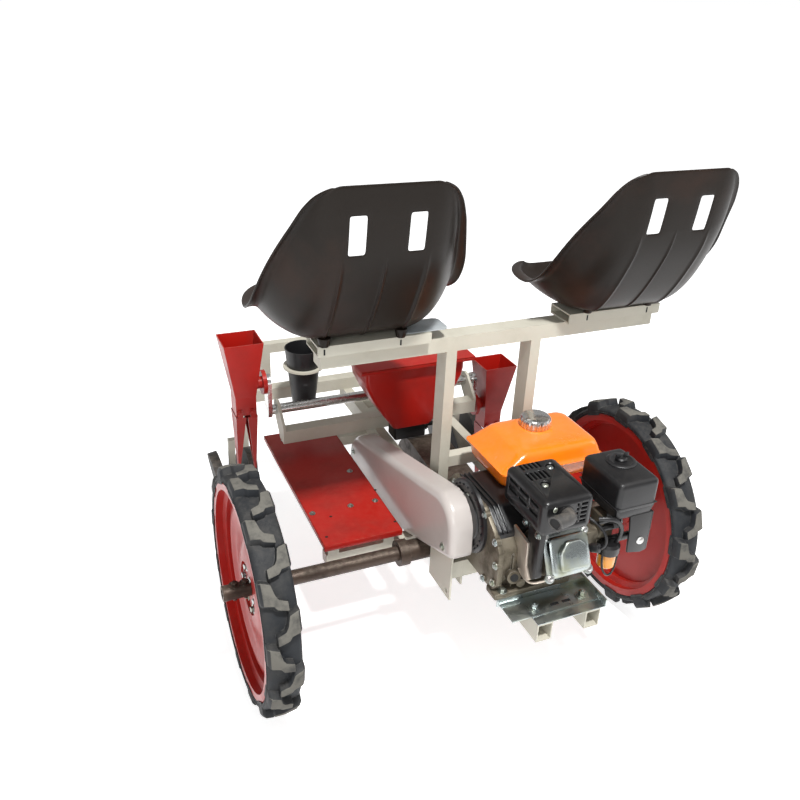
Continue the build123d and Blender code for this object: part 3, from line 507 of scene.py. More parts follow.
def make_rim_details(side, sign):
    """Rolled lips, the dished disc with its pressed ring, hub bolts and axle pins."""
    centre = place(sign * TRACK / 2, 0, WHEEL_RADIUS)
    body = f"wheel_{side}"
    bm = bmesh.new()
    for face in (-1, 1):
        turned(bm, centre, X_AXIS * face, RIM_LIP, steps=96)
    turned(bm, centre, X_AXIS * sign, RIM_OUTSIDE, steps=96)
    turned(bm, centre, -X_AXIS * sign, RIM_INSIDE, steps=96)
    make_object(bm, f"rim_{side}_pressed", RED, body, 40)
    bm = bmesh.new()
    for spot in circle_spots(centre, X_AXIS, HUB_BOLT_CIRCLE, 6):
        for face in (-1, 1):
            bolt(bm, spot + X_AXIS * face * HUB_HALF / 1000, X_AXIS * face, 7.5)
    make_object(bm, f"hub_bolts_{side}", ZINC, body)
    bm = bmesh.new()
    end = place(sign * (TRACK / 2 + AXLE_END), 0, WHEEL_RADIUS)
    turned(bm, end, X_AXIS * sign, [(12, 0.2), (18.6, 0.2), (19.4, -1.5), (19.4, -12)], steps=40)
    for reach in PIN_REACH:
        x = sign * (TRACK / 2 + reach)
        rod(bm, place(x, 0, WHEEL_RADIUS - PIN_LENGTH / 2), Z_AXIS, 5, PIN_LENGTH, rounding=0.8)
        bolt(bm, place(x, 0, WHEEL_RADIUS + PIN_BOLT_Z), Z_AXIS, 8)
    make_object(bm, f"axle_pins_{side}", GREASY, body)


for side_name, side_sign in (("left", -1), ("right", 1)):
    make_tyre(side_name, side_sign)
    make_rim_details(side_name, side_sign)

# Bucket seats: a moulded shell with two slots, ribs underneath and a rolled lip

SEAT_X = {"left": -250, "right": 444}
SEAT_Y = {"left": 16, "right": -17}
SEAT_BOTTOM = 889
SEAT_WALL = 0.005
# rows from the front lip to the top of the back: middle y, middle z, edge half width, edge y, edge z
SEAT_ROWS = (
    (312, 50, 150, 300, 62), (306, 40, 174, 288, 62), (290, 29, 200, 262, 63), (255, 18, 221, 226, 65),
    (205, 11, 234, 188, 67), (155, 7, 242, 150, 70), (105, 5, 246, 112, 76), (62, 8, 247, 86, 90),
    (32, 16, 246, 62, 106), (10, 32, 245, 44, 126), (-12, 60, 241, 24, 152), (-34, 94, 235, 7, 180),
    (-56, 134, 226, -8, 208), (-76, 174, 216, -24, 236), (-90, 210, 205, -42, 264), (-98, 243, 195, -58, 288),
    (-99, 250, 192, -62, 294), (-104, 284, 182, -74, 316), (-107, 315, 173, -83, 334), (-108, 322, 169, -86, 340),
    (-110, 352, 156, -95, 358), (-111, 372, 140, -103, 370), (-112, 384, 116, -109, 380))
# columns out from the middle: in millimetres, then shares of the way to the edge with how far each has risen
SEAT_FLAT = (0, 3, 6, 48, 53, 77, 82, 92, 95, 98)
SEAT_SIDE = ((0.13, 0.03), (0.3, 0.12), (0.46, 0.28), (0.6, 0.5), (0.7, 0.73), (0.77, 0.93), (0.81, 1.01),
             (0.9, 1.03), (0.98, 1.01), (1.0, 0.97))
SEAT_RIB_COLUMNS = (0, 8)
SEAT_RIB_HEIGHT = 5
SEAT_RIB_ROWS = range(7, 15)
SLOT_COLUMNS = (3, 4, 5)
SLOT_ROWS = (15, 16, 17, 18)
SEAT_BOLT_X = (-92, 92)
SLIDE_REACH = {"left": 219, "right": 132}
SLIDE_INNER = 96


def seat_point(side, row, column):
    """Point of the seat's shell at a row and at a column counted from the middle."""
    middle_y, middle_z, half, edge_y, edge_z = SEAT_ROWS[row]
    number = abs(column)
    sign = -1 if column < 0 else 1
    if number < len(SEAT_FLAT):
        across, rise = SEAT_FLAT[number], 0.0
    else:
        share, rise = SEAT_SIDE[number - len(SEAT_FLAT)]
        across = SEAT_FLAT[-1] + share * (half - SEAT_FLAT[-1])
    y = middle_y + (edge_y - middle_y) * rise
    z = middle_z + (edge_z - middle_z) * rise
    if number in SEAT_RIB_COLUMNS and row in SEAT_RIB_ROWS:
        after, before = SEAT_ROWS[row + 1], SEAT_ROWS[row - 1]
        along = Vector((0, after[0] - before[0], after[1] - before[1])).normalized()
        y -= along.z * SEAT_RIB_HEIGHT
        z += along.y * SEAT_RIB_HEIGHT
    return place(SEAT_X[side] + sign * across, SEAT_Y[side] + y, SEAT_BOTTOM + z)


def make_seat(side):
    reach = len(SEAT_FLAT) + len(SEAT_SIDE) - 1
    wide = 2 * reach + 1
    bm = bmesh.new()
    bmesh.ops.create_grid(bm, x_segments=2 * reach, y_segments=len(SEAT_ROWS) - 1, size=1)
    bm.verts.ensure_lookup_table()
    for index, vert in enumerate(bm.verts):
        vert.co = seat_point(side, index // wide, index % wide - reach)
    slots = []
    for face in bm.faces:
        row = min(vert.index // wide for vert in face.verts)
        column = min(abs(vert.index % wide - reach) for vert in face.verts)
        if row in SLOT_ROWS and column in SLOT_COLUMNS:
            slots.append(face)
    bmesh.ops.delete(bm, geom=slots, context="FACES")
    piece = make_object(bm, f"seat_{side}_shell", SEAT_BROWN, sharp=180, replaced=[f"seat_{side}"])
    wall = piece.modifiers.new("wall", "SOLIDIFY")
    wall.thickness = SEAT_WALL
    wall.offset = 0
    smooth = piece.modifiers.new("smooth", "SUBSURF")
    smooth.levels = smooth.render_levels = 2


def make_seat_hardware(side):
    """Feet, the slide plate under the seat with its rounded end, and dark blocks of painted shade for the slots in
    the channel's front.
    """
    x = SEAT_X[side]
    bm = bmesh.new()
    for step in SEAT_BOLT_X:
        for y in (40, 112):
            rod(bm, place(x + step, y, 888), Z_AXIS, 11, 22, end_radius=15, sides=20, rounding=2)
    make_object(bm, f"seat_feet_{side}", SEAT_BROWN)
    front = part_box("seat_channels")[0][1] * 1000 + AXLE_Y
    end = SLIDE_REACH[side]
    outline = ((SLIDE_INNER, 8), (end - 13, 8), (end - 5, 12), (end, 22), (end, 64), (end - 5, 74), (end - 13, 78),
               (SLIDE_INNER, 78))
    bm = bmesh.new()
    prism(bm, [place(x + reach, front + depth, SEAT_BOTTOM) for reach, depth in outline], Z_AXIS * 0.003, 0.8)
    make_object(bm, f"seat_slide_{side}", SLIDE_GREY)
    # thin dark blocks of painted shade where the channel's front is slotted
    bm = bmesh.new()
    for step in SEAT_BOLT_X:
        block(bm, (x + step - 2, x + step + 2), (front - 0.6, front + 0.4), (868, 882), 0.2)
    make_object(bm, f"channel_front_slot_shades_{side}", PAINTED_HOLE_SHADE)


for side_name in SEAT_X:
    make_seat(side_name)
    make_seat_hardware(side_name)

# Fuel tank: lower shell, rim, crowned upper shell, feet, and a ribbed cap on its neck

TANK_X = (29, 319)
TANK_Y = (-164, 38)
TANK_NECK = place(188, -33, 629)
# levels of the two shells: inset, height, corner radius, how far the left side is drawn in further
LOWER_SHELL = ((34, 541, 24), (22, 543, 24), (14, 549, 24), (10, 560, 22), (8, 578, 20), (7, 587.5, 18))
UPPER_SHELL = ((1, 587, 16), (0, 588, 16), (0, 591.5, 16), (2, 592.5, 16), (5, 594, 16), (9, 602, 17, 8),
               (11, 611, 19, 20), (14, 620, 22, 30), (17, 625.5, 23, 34), (22, 629.5, 24, 37),
               (30, 631.5, 24, 38), (42, 632.4, 20, 38))


def tank_ring(bm, inset, z, corner, left=0):
    """Level of a tank shell, its left side drawn in further."""
    return rounded_ring(bm, lambda x, y: place(x, y, z), (TANK_X[0] + inset + left, TANK_X[1] - inset),
                        (TANK_Y[0] + inset, TANK_Y[1] - inset), corner, 6)


def make_tank():
    bm = bmesh.new()
    for levels in (LOWER_SHELL, UPPER_SHELL):
        skin(bm, [tank_ring(bm, *level) for level in levels])
    make_object(bm, "fuel_tank_shells", TANK_ORANGE, sharp=50, replaced=["fuel_tank"])
    bm = bmesh.new()
    turned(bm, TANK_NECK, Z_AXIS, [(0, 4), (46, 4), (50, 2), (51, 0)])
    make_object(bm, "tank_neck", TANK_ORANGE, sharp=40)
    bm = bmesh.new()
    turned(bm, TANK_NECK, Z_AXIS, [(35, 3), (37, 5), (37, 26), (35, 30), (29, 33), (0, 34)], steps=64)
    for spot in circle_spots(TANK_NECK, Z_AXIS, 36.5, 24):
        rod(bm, spot + Z_AXIS * 0.006, Z_AXIS, 3, 20, sides=8, rounding=0.8)
    make_object(bm, "tank_cap", CHROME)
    bm = bmesh.new()
    for x in (70, 250):
        for y in (-120, 0):
            block(bm, (x, x + 26), (y, y + 18), (535, 560), 2)
    make_object(bm, "tank_feet", BLACK_ENAMEL)


make_tank()

# Muffler under its slotted shield, with the spout in front

MUFFLER_X = (4, 132)
MUFFLER_Y = (-376, -206)
MUFFLER_Z = (566, 654)
SHIELD_SCREWS = ((97, -245), (47, -305))
SPOUT_PATH = ((60, -374, 621), (62, -388, 622), (52, -396, 622), (34, -399, 623), (18, -402, 623))
SPOUT_OUTWARD = Vector((-0.9, -0.4, -0.12))


def cut_shield_slots(shield):
    """Slots on top in two groups, on the left side and in front beside the spout, and two screw recesses."""
    top = MUFFLER_Z[1]
    cutter = bmesh.new()
    for x0, y0 in ((26, -283), (30, -240)):
        for x in range(x0, x0 + 55, 11):
            block(cutter, (x, x + 5.5), (y0, y0 + 30), (top - 6, top + 6), 1.4)
    for y in (-352, -308, -264):
        for z in (606, 630):
            block(cutter, (-4, 9), (y, y + 34), (z, z + 8), 1.4)
    for z in range(640, 585, -11):
        block(cutter, (86, 91), (-390, -370), (z - 6, z), 1)
        block(cutter, (97, 113), (-390, -370), (z - 6, z), 1.2)
    for x, y in SHIELD_SCREWS:
        rod(cutter, place(x, y, top - 4), Z_AXIS, 12, 12, sides=28)
    cut_away(shield, cutter)


def make_muffler():
    bm = bmesh.new()
    block(bm, MUFFLER_X, MUFFLER_Y, MUFFLER_Z, 15, 4)
    cut_shield_slots(make_object(bm, "muffler_shield", BLACK_ENAMEL, sharp=35, replaced=["muffler"]))
    bm = bmesh.new()
    for x, y in SHIELD_SCREWS:
        dome_screw(bm, place(x, y, MUFFLER_Z[1] - 4.5), Z_AXIS, 8.5)
    dome_screw(bm, place(31, -375.5, 636), -Y_AXIS, 6)
    for y in (-292, -345):
        bolt(bm, place(19, y, 552), -X_AXIS, 6)
    make_object(bm, "muffler_bolts", ZINC)
    # spout: a short elbow that opens to the left
    bm = bmesh.new()
    rod(bm, place(60, -374, 619), -Y_AXIS, 21, 3, sides=36, rounding=1)
    make_object(bm, "muffler_spout_flange", BLACK_ENAMEL)
    pipe("muffler_spout", SPOUT_PATH, 16, SPOUT_GREY)
    mouth = place(*SPOUT_PATH[-1])
    bm = bmesh.new()
    turned(bm, mouth, SPOUT_OUTWARD, [(13.5, 0), (13.5, 4), (17, 4), (17, 0), (13.5, 0)], steps=40)
    make_object(bm, "muffler_spout_lip", SPOUT_GREY)
    # dark disc of painted shade across the spout's mouth
    bm = bmesh.new()
    rod(bm, mouth, SPOUT_OUTWARD, 13.4, 2.6, sides=28)
    make_object(bm, "muffler_spout_mouth_shade", PAINTED_HOLE_SHADE)


make_muffler()

# Air cleaner: box with a seam and a wing nut, and the plate that carries it

AIR_X = (205, 314)
AIR_Y = (-366, -217)
AIR_KNOB = (270, -275)
AIR_FOOT_TOP = 560
AIR_FOOT_TAPER = (0.1, 0.08)
AIR_PLATE = ((252, 556), (318, 556), (316, 448), (300, 444), (262, 452), (258, 520))


def make_air_cleaner():
    (x0, x1), (y0, y1) = AIR_X, AIR_Y
    bm = bmesh.new()
    block(bm, AIR_X, AIR_Y, (572, 650), 13, 4)
    block(bm, (x0 - 0.8, x1 + 0.8), (y0 - 0.8, y1 + 0.8), (585.5, 587.5), 0.8)
    foot = [place(x, y, 585) for x, y in ((x0 + 2, y0 + 2), (x1 - 2, y0 + 2), (x1 - 2, y1 - 2), (x0 + 2, y1 - 2))]
    prism(bm, foot, Z_AXIS * -0.032, 4)
    middle = place(262, -300, 0)
    for vert in bm.verts:
        if vert.co.z < AIR_FOOT_TOP / 1000:
            vert.co.x += (middle.x - vert.co.x) * AIR_FOOT_TAPER[0]
            vert.co.y += (middle.y - vert.co.y) * AIR_FOOT_TAPER[1]
    make_object(bm, "air_cleaner_box", BLACK_PLASTIC, sharp=35, replaced=["air_cleaner"])
    bm = bmesh.new()
    x, y = AIR_KNOB
    turned(bm, place(x, y, 649), Z_AXIS, [(35, 0), (35, 3), (32, 5.5), (27, 6), (24, 4), (0, 4)])
    turned(bm, place(x, y, 649), Z_AXIS, [(13, 3), (13, 9), (10, 12), (0, 12.5)], steps=32)
    for wing in (x - 11, x + 11):
        block(bm, (wing - 7, wing + 7), (y - 2, y + 2), (658, 672), 1.8)
    make_object(bm, "air_cleaner_nut", BLACK_PLASTIC, sharp=35)
    bm = bmesh.new()
    prism(bm, [place(x, -360, z) for x, z in AIR_PLATE], Y_AXIS * 0.006, 1.5)
    block(bm, (312, 318), (-360, -300), (450, 556), 1.5)
    make_object(bm, "air_cleaner_plate", BLACK_ENAMEL)
    bm = bmesh.new()
    dome_screw(bm, place(294, -359.5, 479), -Y_AXIS, 10)
    make_object(bm, "air_cleaner_bolt", CHROME)


make_air_cleaner()

# Crankcase with its side ring, flange, bolts and filler

CASE_X = (-40, 150)
# outlines of the casting, the left cover's flange and the right one's, as (y, z)
CASE_BODY = ((-20, 362), (-20, 500), (-52, 540), (-200, 540), (-252, 505), (-283, 470), (-283, 400), (-270, 362))
CASE_LEFT = ((-14, 370), (-14, 505), (-50, 548), (-205, 550), (-258, 515), (-292, 476), (-294, 388), (-276, 362),
             (-32, 358))
CASE_RIGHT = ((-18, 365), (-18, 500), (-52, 542), (-200, 542), (-254, 507), (-286, 470), (-286, 398), (-270, 362))
CASE_BOLTS = ((-278, 500), (-290, 440), (-285, 385), (-220, 540), (-140, 548), (-60, 536), (-18, 470), (-18, 400),
              (-240, 364), (-70, 364))
FILLER_AXIS = Vector((-0.15, -1, 0.15))
SHROUD_RING = ((30, 0), (58, 0), (60, 3), (72, 3), (74, 0), (86, 0), (91, 3), (92, 10), (30, 10), (30, 0))
SHROUD = ((-45, 500), (-45, 538), (-60, 545), (-205, 545), (-262, 508), (-262, 478))
SHROUD_RIB = ((-60, 543), (-60, 551), (-208, 551), (-266, 512), (-262, 504))


def make_crankcase():
    left, right = CASE_X
    bm = bmesh.new()
    side_plate(bm, left + 12, right - left - 24, CASE_BODY, 7, 3)
    side_plate(bm, left, 14, CASE_LEFT, 3)
    side_plate(bm, right - 12, 12, CASE_RIGHT, 3)
    block(bm, (left - 4, right + 8), (-300, -256), (350, 366), 3)
    block(bm, (left - 4, right + 8), (-60, -12), (350, 366), 3)
    block(bm, (left + 4, right - 2), (-262, -50), (354, 370), 3)
    for y in (-240, -200, -90):
        block(bm, (left + 2, left + 12), (y, y + 5), (366, 420), 1.5)
    for x in (0, 30, 95, 125):
        block(bm, (x, x + 4), (-290, -276), (372, 462), 1.5)
    # filler boss in front and drain boss beside it
    rod(bm, place(5, -278, 402), FILLER_AXIS, 17, 22, rounding=2)
    rod(bm, place(26, -280, 380), FILLER_AXIS, 11, 18, rounding=1.5)
    make_object(bm, "crankcase_casting", CAST_ALLOY, sharp=34, replaced=["crankcase"])
    # dark disc of painted shade in the filler's mouth
    bm = bmesh.new()
    rod(bm, place(2, -300, 405.4), FILLER_AXIS, 10, 1, sides=28)
    make_object(bm, "filler_mouth_shade", PAINTED_HOLE_SHADE)
    # the bolts stand a little inside the flange's outline
    spots = [place(left - 3, y * 0.965 - 5, 458 + (z - 458) * 0.95) for y, z in CASE_BOLTS]
    bm = bmesh.new()
    for spot in spots:
        rod(bm, spot, X_AXIS, 9, 12, sides=20)
    make_object(bm, "crankcase_bosses", CAST_ALLOY, sharp=34)
    bm = bmesh.new()
    for spot in spots:
        bolt(bm, spot, -X_AXIS, 5.5)
    for x in (left + 20, right - 20):
        for y in (-290, -24):
            bolt(bm, place(x, y, 366), Z_AXIS, 7)
    make_object(bm, "crankcase_bolts", ZINC)
    # ribbed black ring round the pulley side, and the black shroud between crankcase and tank
    bm = bmesh.new()
    centre = place(-50, -140, 485)
    turned(bm, centre, X_AXIS, SHROUD_RING, steps=64)
    for spot in circle_spots(centre, X_AXIS, 80, 24):
        rod(bm, spot, -X_AXIS, 3, 3, sides=8)
    side_plate(bm, -33, 186, SHROUD, 6, 3)
    for x in (-30, -18, -6):
        side_plate(bm, x, 4, SHROUD_RIB, 1.2)
    make_object(bm, "engine_shroud", BLACK_ENAMEL, sharp=34)


make_crankcase()

# Cylinder with cooling fins, head, plated valve cover and tin shroud; it leans back by 25 degrees

LEAN = math.radians(25)
HEAD_AXIS = Vector((0, -math.cos(LEAN), math.sin(LEAN)))
HEAD_UP = Vector((0, math.sin(LEAN), math.cos(LEAN)))
COVER_CENTRE = place(98, -349, 487)
COVER_EARS = ((-51, -47), (51, -47), (-51, 44), (51, 44))
COVER_BOSS = ((-33, -33), (40, -33), (40, 18), (22, 34), (-14, 34), (-33, 10))
# levels of the valve cover: half width, half height, corner radius, distance out
COVER_LEVELS = ((57, 50, 14, -3), (57.5, 50.5, 14, 2), (54, 47, 14, 4), (51, 44, 13, 5), (50, 43, 13, 16),
                (47, 40, 12, 18), (45, 38, 12, 19))
FIN_COUNT = 7
TIN_PLATE = ((-252, 520), (-316, 512), (-320, 452), (-338, 424), (-318, 410), (-292, 424), (-264, 470))
TIN_FOOT = ((16, -292, 424), (18, -322, 408), (34, -342, 412), (66, -350, 424))
BLACK_PLATE = ((-300, 560), (-352, 560), (-352, 500), (-356, 440), (-332, 418), (-312, 440))
PLUG_AXIS = Vector((0.5, -0.8, 0.35))


def head_plane(across, up, out):
    """Point on the cylinder head, from the valve cover's centre."""
    return COVER_CENTRE + X_AXIS * across / 1000 + HEAD_UP * up / 1000 + HEAD_AXIS * out / 1000


def head_skin(bm, levels):
    """Closed shape on the cylinder head from levels as in COVER_LEVELS."""
    rings = []
    for half_width, half_height, corner, out in levels:
        rings.append(rounded_ring(bm, lambda across, up: head_plane(across, up, out), (-half_width, half_width),
                                  (-half_height, half_height), corner, 5))
    skin(bm, rings)


def make_cylinder():
    bm = bmesh.new()
    for number in range(FIN_COUNT):
        out = 9 * number - 78
        head_skin(bm, [(62 - number, 54 - number, 12, level) for level in (out, out + 3)])
    head_skin(bm, ((44, 40, 12, -84), (44, 40, 12, 0)))
    head_skin(bm, ((56, 46, 10, -16), (56, 46, 10, -3)))
    block(bm, (40, 140), (-300, -278), (420, 520), 8, 3)
    make_object(bm, "cylinder_fins", CAST_ALLOY, sharp=34, replaced=["cylinder"])
    bm = bmesh.new()
    head_skin(bm, COVER_LEVELS)
    for across, up in COVER_EARS:
        rod(bm, head_plane(across, up, -3), HEAD_AXIS, 12, 6.5, rounding=1)
    # six-sided boss, left plain
    prism(bm, [head_plane(across, up, 18) for across, up in COVER_BOSS], HEAD_AXIS * 0.014, 6, 3)
    make_object(bm, "valve_cover_pressing", ZINC)
    bm = bmesh.new()
    for across, up in COVER_EARS:
        bolt(bm, head_plane(across, up, 3.4), HEAD_AXIS, 5.5)
    make_object(bm, "valve_cover_bolts", CHROME)
    # bright plate beside the cylinder with its rolled foot, and the black plate in front of it
    bm = bmesh.new()
    side_plate(bm, 14, 8, TIN_PLATE, 2)
    make_object(bm, "tin_deflector", TIN, sharp=34)
    pipe("tin_foot", TIN_FOOT, 3.5, TIN)
    bm = bmesh.new()
    side_plate(bm, 20, 16, BLACK_PLATE, 3)
    make_object(bm, "cylinder_side_plate", BLACK_ENAMEL, sharp=34)
    bm = bmesh.new()
    rod(bm, place(158, -322, 470), PLUG_AXIS, 7, 34, rounding=1)
    rod(bm, place(170, -342, 478), PLUG_AXIS, 11, 22, rounding=2)
    make_object(bm, "spark_plug_cap", BLACK_PLASTIC, sharp=34)


make_cylinder()

# Carburettor with its bowl, fuel strainer, hoses and levers

STRAINER = place(228, -333, 408)
# name: radius, then the points along it
HOSES = {
    "fuel_hose_long": (5.5, ((174, -348, 560), (198, -362, 566), (226, -362, 545), (244, -352, 505),
                             (240, -340, 472))),
    "fuel_hose_short": (2.6, ((205, -345, 455), (196, -356, 425), (214, -362, 396), (242, -352, 402),
                              (252, -340, 440))),
    "plug_lead": (3.5, ((182, -362, 486), (192, -372, 500), (186, -356, 536), (160, -330, 556), (150, -290, 560)))}


def make_carburettor():
    bm = bmesh.new()
    block(bm, (168, 206), (-318, -280), (458, 500), 5, 3)
    block(bm, (206, 244), (-322, -276), (478, 540), 5, 3)
    rod(bm, place(196, -300, 482), X_AXIS, 19, 44, rounding=2)
    rod(bm, place(216, -298, 440), Z_AXIS, 21, 34, rounding=4)
    rod(bm, place(150, -300, 480), X_AXIS, 15, 24, rounding=1)
    make_object(bm, "carburettor_body", CAST_ALLOY, sharp=34, replaced=["carburettor"])
    bm = bmesh.new()
    turned(bm, STRAINER, Z_AXIS, [(0, 0), (18, 0), (21, 3), (22, 40), (0, 40)], steps=36)
    make_object(bm, "strainer_cup", AMBER, sharp=34)
    bm = bmesh.new()
    turned(bm, STRAINER, Z_AXIS, [(0, 39), (26, 39), (27, 43), (27, 60), (22, 66), (12, 68), (0, 68)], steps=36)
    block(bm, (222, 300), (-328, -318), (462, 480), 2)
    block(bm, (214, 260), (-326, -322), (500, 552), 2)
    block(bm, (176, 214), (-344, -338), (540, 546), 1)
    rod(bm, place(196, -336, 520), X_AXIS, 7, 30, rounding=1)
    make_object(bm, "carburettor_levers", BLACK_ENAMEL, sharp=34)
    for name, (radius, points) in HOSES.items():
        pipe(name, points, radius, BLACK_PLASTIC)


make_carburettor()

# Blower housing and recoil starter on the right of the engine

STARTER = place(150, -125, 456)
STARTER_RIBS = 18


def make_starter():
    bm = bmesh.new()
    turned(bm, STARTER, X_AXIS, [(0, 0), (96, 0), (96, 34), (90, 42), (80, 45), (0, 45)], steps=72)
    make_object(bm, "blower_housing", BLACK_ENAMEL, sharp=34, replaced=["fan_housing"])
    bm = bmesh.new()
    turned(bm, STARTER, X_AXIS, [(76, 40), (76, 70), (70, 80), (56, 84), (40, 84), (36, 88), (0, 88)], steps=72)
    rib = Matrix.Translation((0.0845, 0, 0.056)) @ Matrix.Diagonal((0.003, 0.006, 0.026, 1))
    for index in range(STARTER_RIBS):
        spin = Matrix.Rotation(math.tau * index / STARTER_RIBS, 4, "X")
        verts = bmesh.ops.create_cube(bm, size=1, matrix=Matrix.Translation(STARTER) @ spin @ rib)["verts"]
        soften(bm, edges_at(verts), 1, 1)
    block(bm, (172, 204), (-236, -188), (500, 528), 6, 3)
    make_object(bm, "recoil_cover", BLACK_ENAMEL, sharp=34)
    bm = bmesh.new()
    rod(bm, place(188, -244, 494), Z_AXIS, 7, 40, rounding=2)
    rod(bm, place(188, -240, 514), Y_AXIS, 3, 10)
    make_object(bm, "recoil_handle", BLACK_PLASTIC, sharp=34)
    bm = bmesh.new()
    for spot in circle_spots(STARTER, X_AXIS, 90, 4, 0.5):
        bolt(bm, spot + X_AXIS * 0.0425, X_AXIS, 5)
    make_object(bm, "starter_bolts", ZINC)


make_starter()

# Base channels: the near one is folded up on both sides, slotted with painted shade and bolted down

# plates as limits in x, y and z with their rounding
CHANNEL_PLATES = (
    ((-36, 206), (-297, -262), (346, 350), 0.8), ((-36, 206), (-299, -295), (328, 350), 0.8),
    ((-30, 206), (-362, -296), (332, 336), 0.8), ((203, 207), (-388, -262), (330, 352), 0.8),
    ((22, 206), (-388, -297), (330, 332.6), 0.8), ((-36, 206), (-84, -36), (330, 350), 2))


def make_channels():
    bm = bmesh.new()
    for x, y, z, rounding in CHANNEL_PLATES:
        block(bm, x, y, z, rounding)
    make_object(bm, "engine_channel_plates", ZINC, sharp=34, replaced=["engine_channels"])
    # thin dark blocks of painted shade where the plates are slotted
    bm = bmesh.new()
    for x in (82, 114):
        block(bm, (x, x + 22), (-346, -338), (335.6, 336.5), 0.2)
    block(bm, (-24, 4), (-290, -278), (349.6, 350.6), 0.2)
    make_object(bm, "channel_slot_shades", PAINTED_HOLE_SHADE, sharp=34)
    bm = bmesh.new()
    for x in (40, 171):
        rod(bm, place(x, -338, 335.5), Z_AXIS, 17, 2.5, sides=28)
        rod(bm, place(x, -338, 338), Z_AXIS, 13, 2.5, sides=28)
        bolt(bm, place(x, -338, 340.5), Z_AXIS, 9, washer=0)
        rod(bm, place(x, -338, 346), Z_AXIS, 4.5, 8, sides=16)
    make_object(bm, "channel_bolts", ZINC)


make_channels()

# Belt cover: a flat case with rolled edges, drawn round two pulleys

COVER_INSIDE_X = -50
COVER_DEPTH = 58
# circles that the outline is drawn round: y, z and radius
COVER_CIRCLES = ((-107, 463, 76), (-164, 412, 22), (400, 292, 112))
COVER_BOLTS = ((-145, 413), (468, 330))


def cover_outline():
    """Outer border of the circles' points, walked from end to end over one side and back over the other."""
    points = []
    for y, z, radius in COVER_CIRCLES:
        for degrees in range(0, 360, 6):
            turn = math.radians(degrees)
            points.append((y + radius * math.cos(turn), z + radius * math.sin(turn)))
    ordered = sorted(points)
    border = []
    for walk in (ordered, ordered[::-1]):
        chain = []
        for y, z in walk:
            while len(chain) > 1:
                (y0, z0), (y1, z1) = chain[-2:]
                if (y1 - y0) * (z - z0) - (z1 - z0) * (y - y0) > 0:
                    break
                chain.pop()
            chain.append((y, z))
        border += chain[:-1]
    return border


def make_belt_cover():
    bm = bmesh.new()
    face = bm.faces.new([bm.verts.new(place(COVER_INSIDE_X, y, z)) for y, z in cover_outline()])
    made = bmesh.ops.extrude_face_region(bm, geom=[face])["geom"]
    verts = [item for item in made if isinstance(item, bmesh.types.BMVert)]
    bmesh.ops.translate(bm, verts=verts, vec=X_AXIS * -COVER_DEPTH / 1000)
    outside = next(item for item in made if isinstance(item, bmesh.types.BMFace))
    soften(bm, outside.edges, 20, 6, clamp=False)
    make_object(bm, "belt_cover_case", COVER_WHITE, replaced=["belt_cover"])
    bm = bmesh.new()
    for y, z in COVER_BOLTS:
        bolt(bm, place(COVER_INSIDE_X - COVER_DEPTH + 0.4, y, z), -X_AXIS, 5.5, washer=1.9)
    make_object(bm, "cover_bolts", ZINC)


make_belt_cover()

# Hopper: a pressed bin that bulges below its rim, under a flat hinged lid, on its metering box

HOPPER_X = 50
HOPPER_CORNER = 12
HOPPER_WALL = 0.0035
# levels of the bin: height, half width, then its limits in y
HOPPER_LEVELS = ((430, 60, 392, 508), (436, 64, 390, 510), (480, 96, 387, 513), (540, 132, 385.5, 514.5),
                 (580, 151, 385, 515), (600, 155, 385, 515), (626, 155, 385, 515), (634, 154, 385.5, 514.5),
                 (640, 155, 385, 515))
HINGE_X = (-50, 150)
LID_X = (-127, 227)
LID_Y = (363, 537)


def make_hopper():
    bm = bmesh.new()
    rings = []
    for z, half, y0, y1 in HOPPER_LEVELS:
        rings.append(rounded_ring(bm, lambda x, y: place(x, y, z), (HOPPER_X - half, HOPPER_X + half), (y0, y1),
                                  HOPPER_CORNER, 4))
    skin(bm, rings, closed=(0,))
    piece = make_object(bm, "hopper_bin", RED, sharp=34, replaced=["hopper"])
    wall = piece.modifiers.new("wall", "SOLIDIFY")
    wall.thickness = HOPPER_WALL
    wall.offset = -1
    bm = bmesh.new()
    for x in HINGE_X:
        for ear in (x - 19, x + 19):
            block(bm, (ear - 3, ear + 3), (514, 534), (624, 636), 1)
        rod(bm, place(x - 22, 529, 632), X_AXIS, 4, 44, rounding=0.6)
    make_object(bm, "lid_hinge_ears", ZINC)
    bm = bmesh.new()
    block(bm, LID_X, LID_Y, (641, 646), 1.4, 3)
    block(bm, LID_X, (LID_Y[0], LID_Y[0] + 2.5), (633, 645), 1)
    block(bm, (LID_X[0], LID_X[0] + 2.5), LID_Y, (633, 645), 1)
    block(bm, (LID_X[1] - 2.5, LID_X[1]), LID_Y, (633, 645), 1)
    for x in HINGE_X:
        rod(bm, place(x - 15, 529, 632), X_AXIS, 8, 30)
        block(bm, (x - 15, x + 15), (525, 533), (632, 642), 0.8)
    make_object(bm, "hopper_lid_pressing", RED, "hopper_lid", replaced=["hopper_lid"])
    bm = bmesh.new()
    block(bm, (0, 100), (405, 461), (381, 430), 5, 3)
    rod(bm, place(100, 433, 405), X_AXIS, 16, 14, rounding=2)
    rod(bm, place(114, 433, 405), X_AXIS, 7, 22, rounding=1)
    make_object(bm, "metering_body", BLACK_ENAMEL, replaced=["metering_box"])


make_hopper()

# Floor plates with painted shade for their holes, with screws and folded edges

FLOOR_TOP = 335
FLOOR_HOLES = ((-125, 244), (-131, 86), (-283, 165), (-322, 84), (466, 84), (466, 244), (312, 84))
FLOOR_SCREWS = ((-159, 360), (-217, 194), (-145, 194), (-325, 194), (-290, 593), (318, 360), (365, 194), (445, 194))
# limits of the two plates: x from and to, y from and to
FLOOR_PLATES = ((-340, -126, 48, 640), (300, 478, 48, 432))


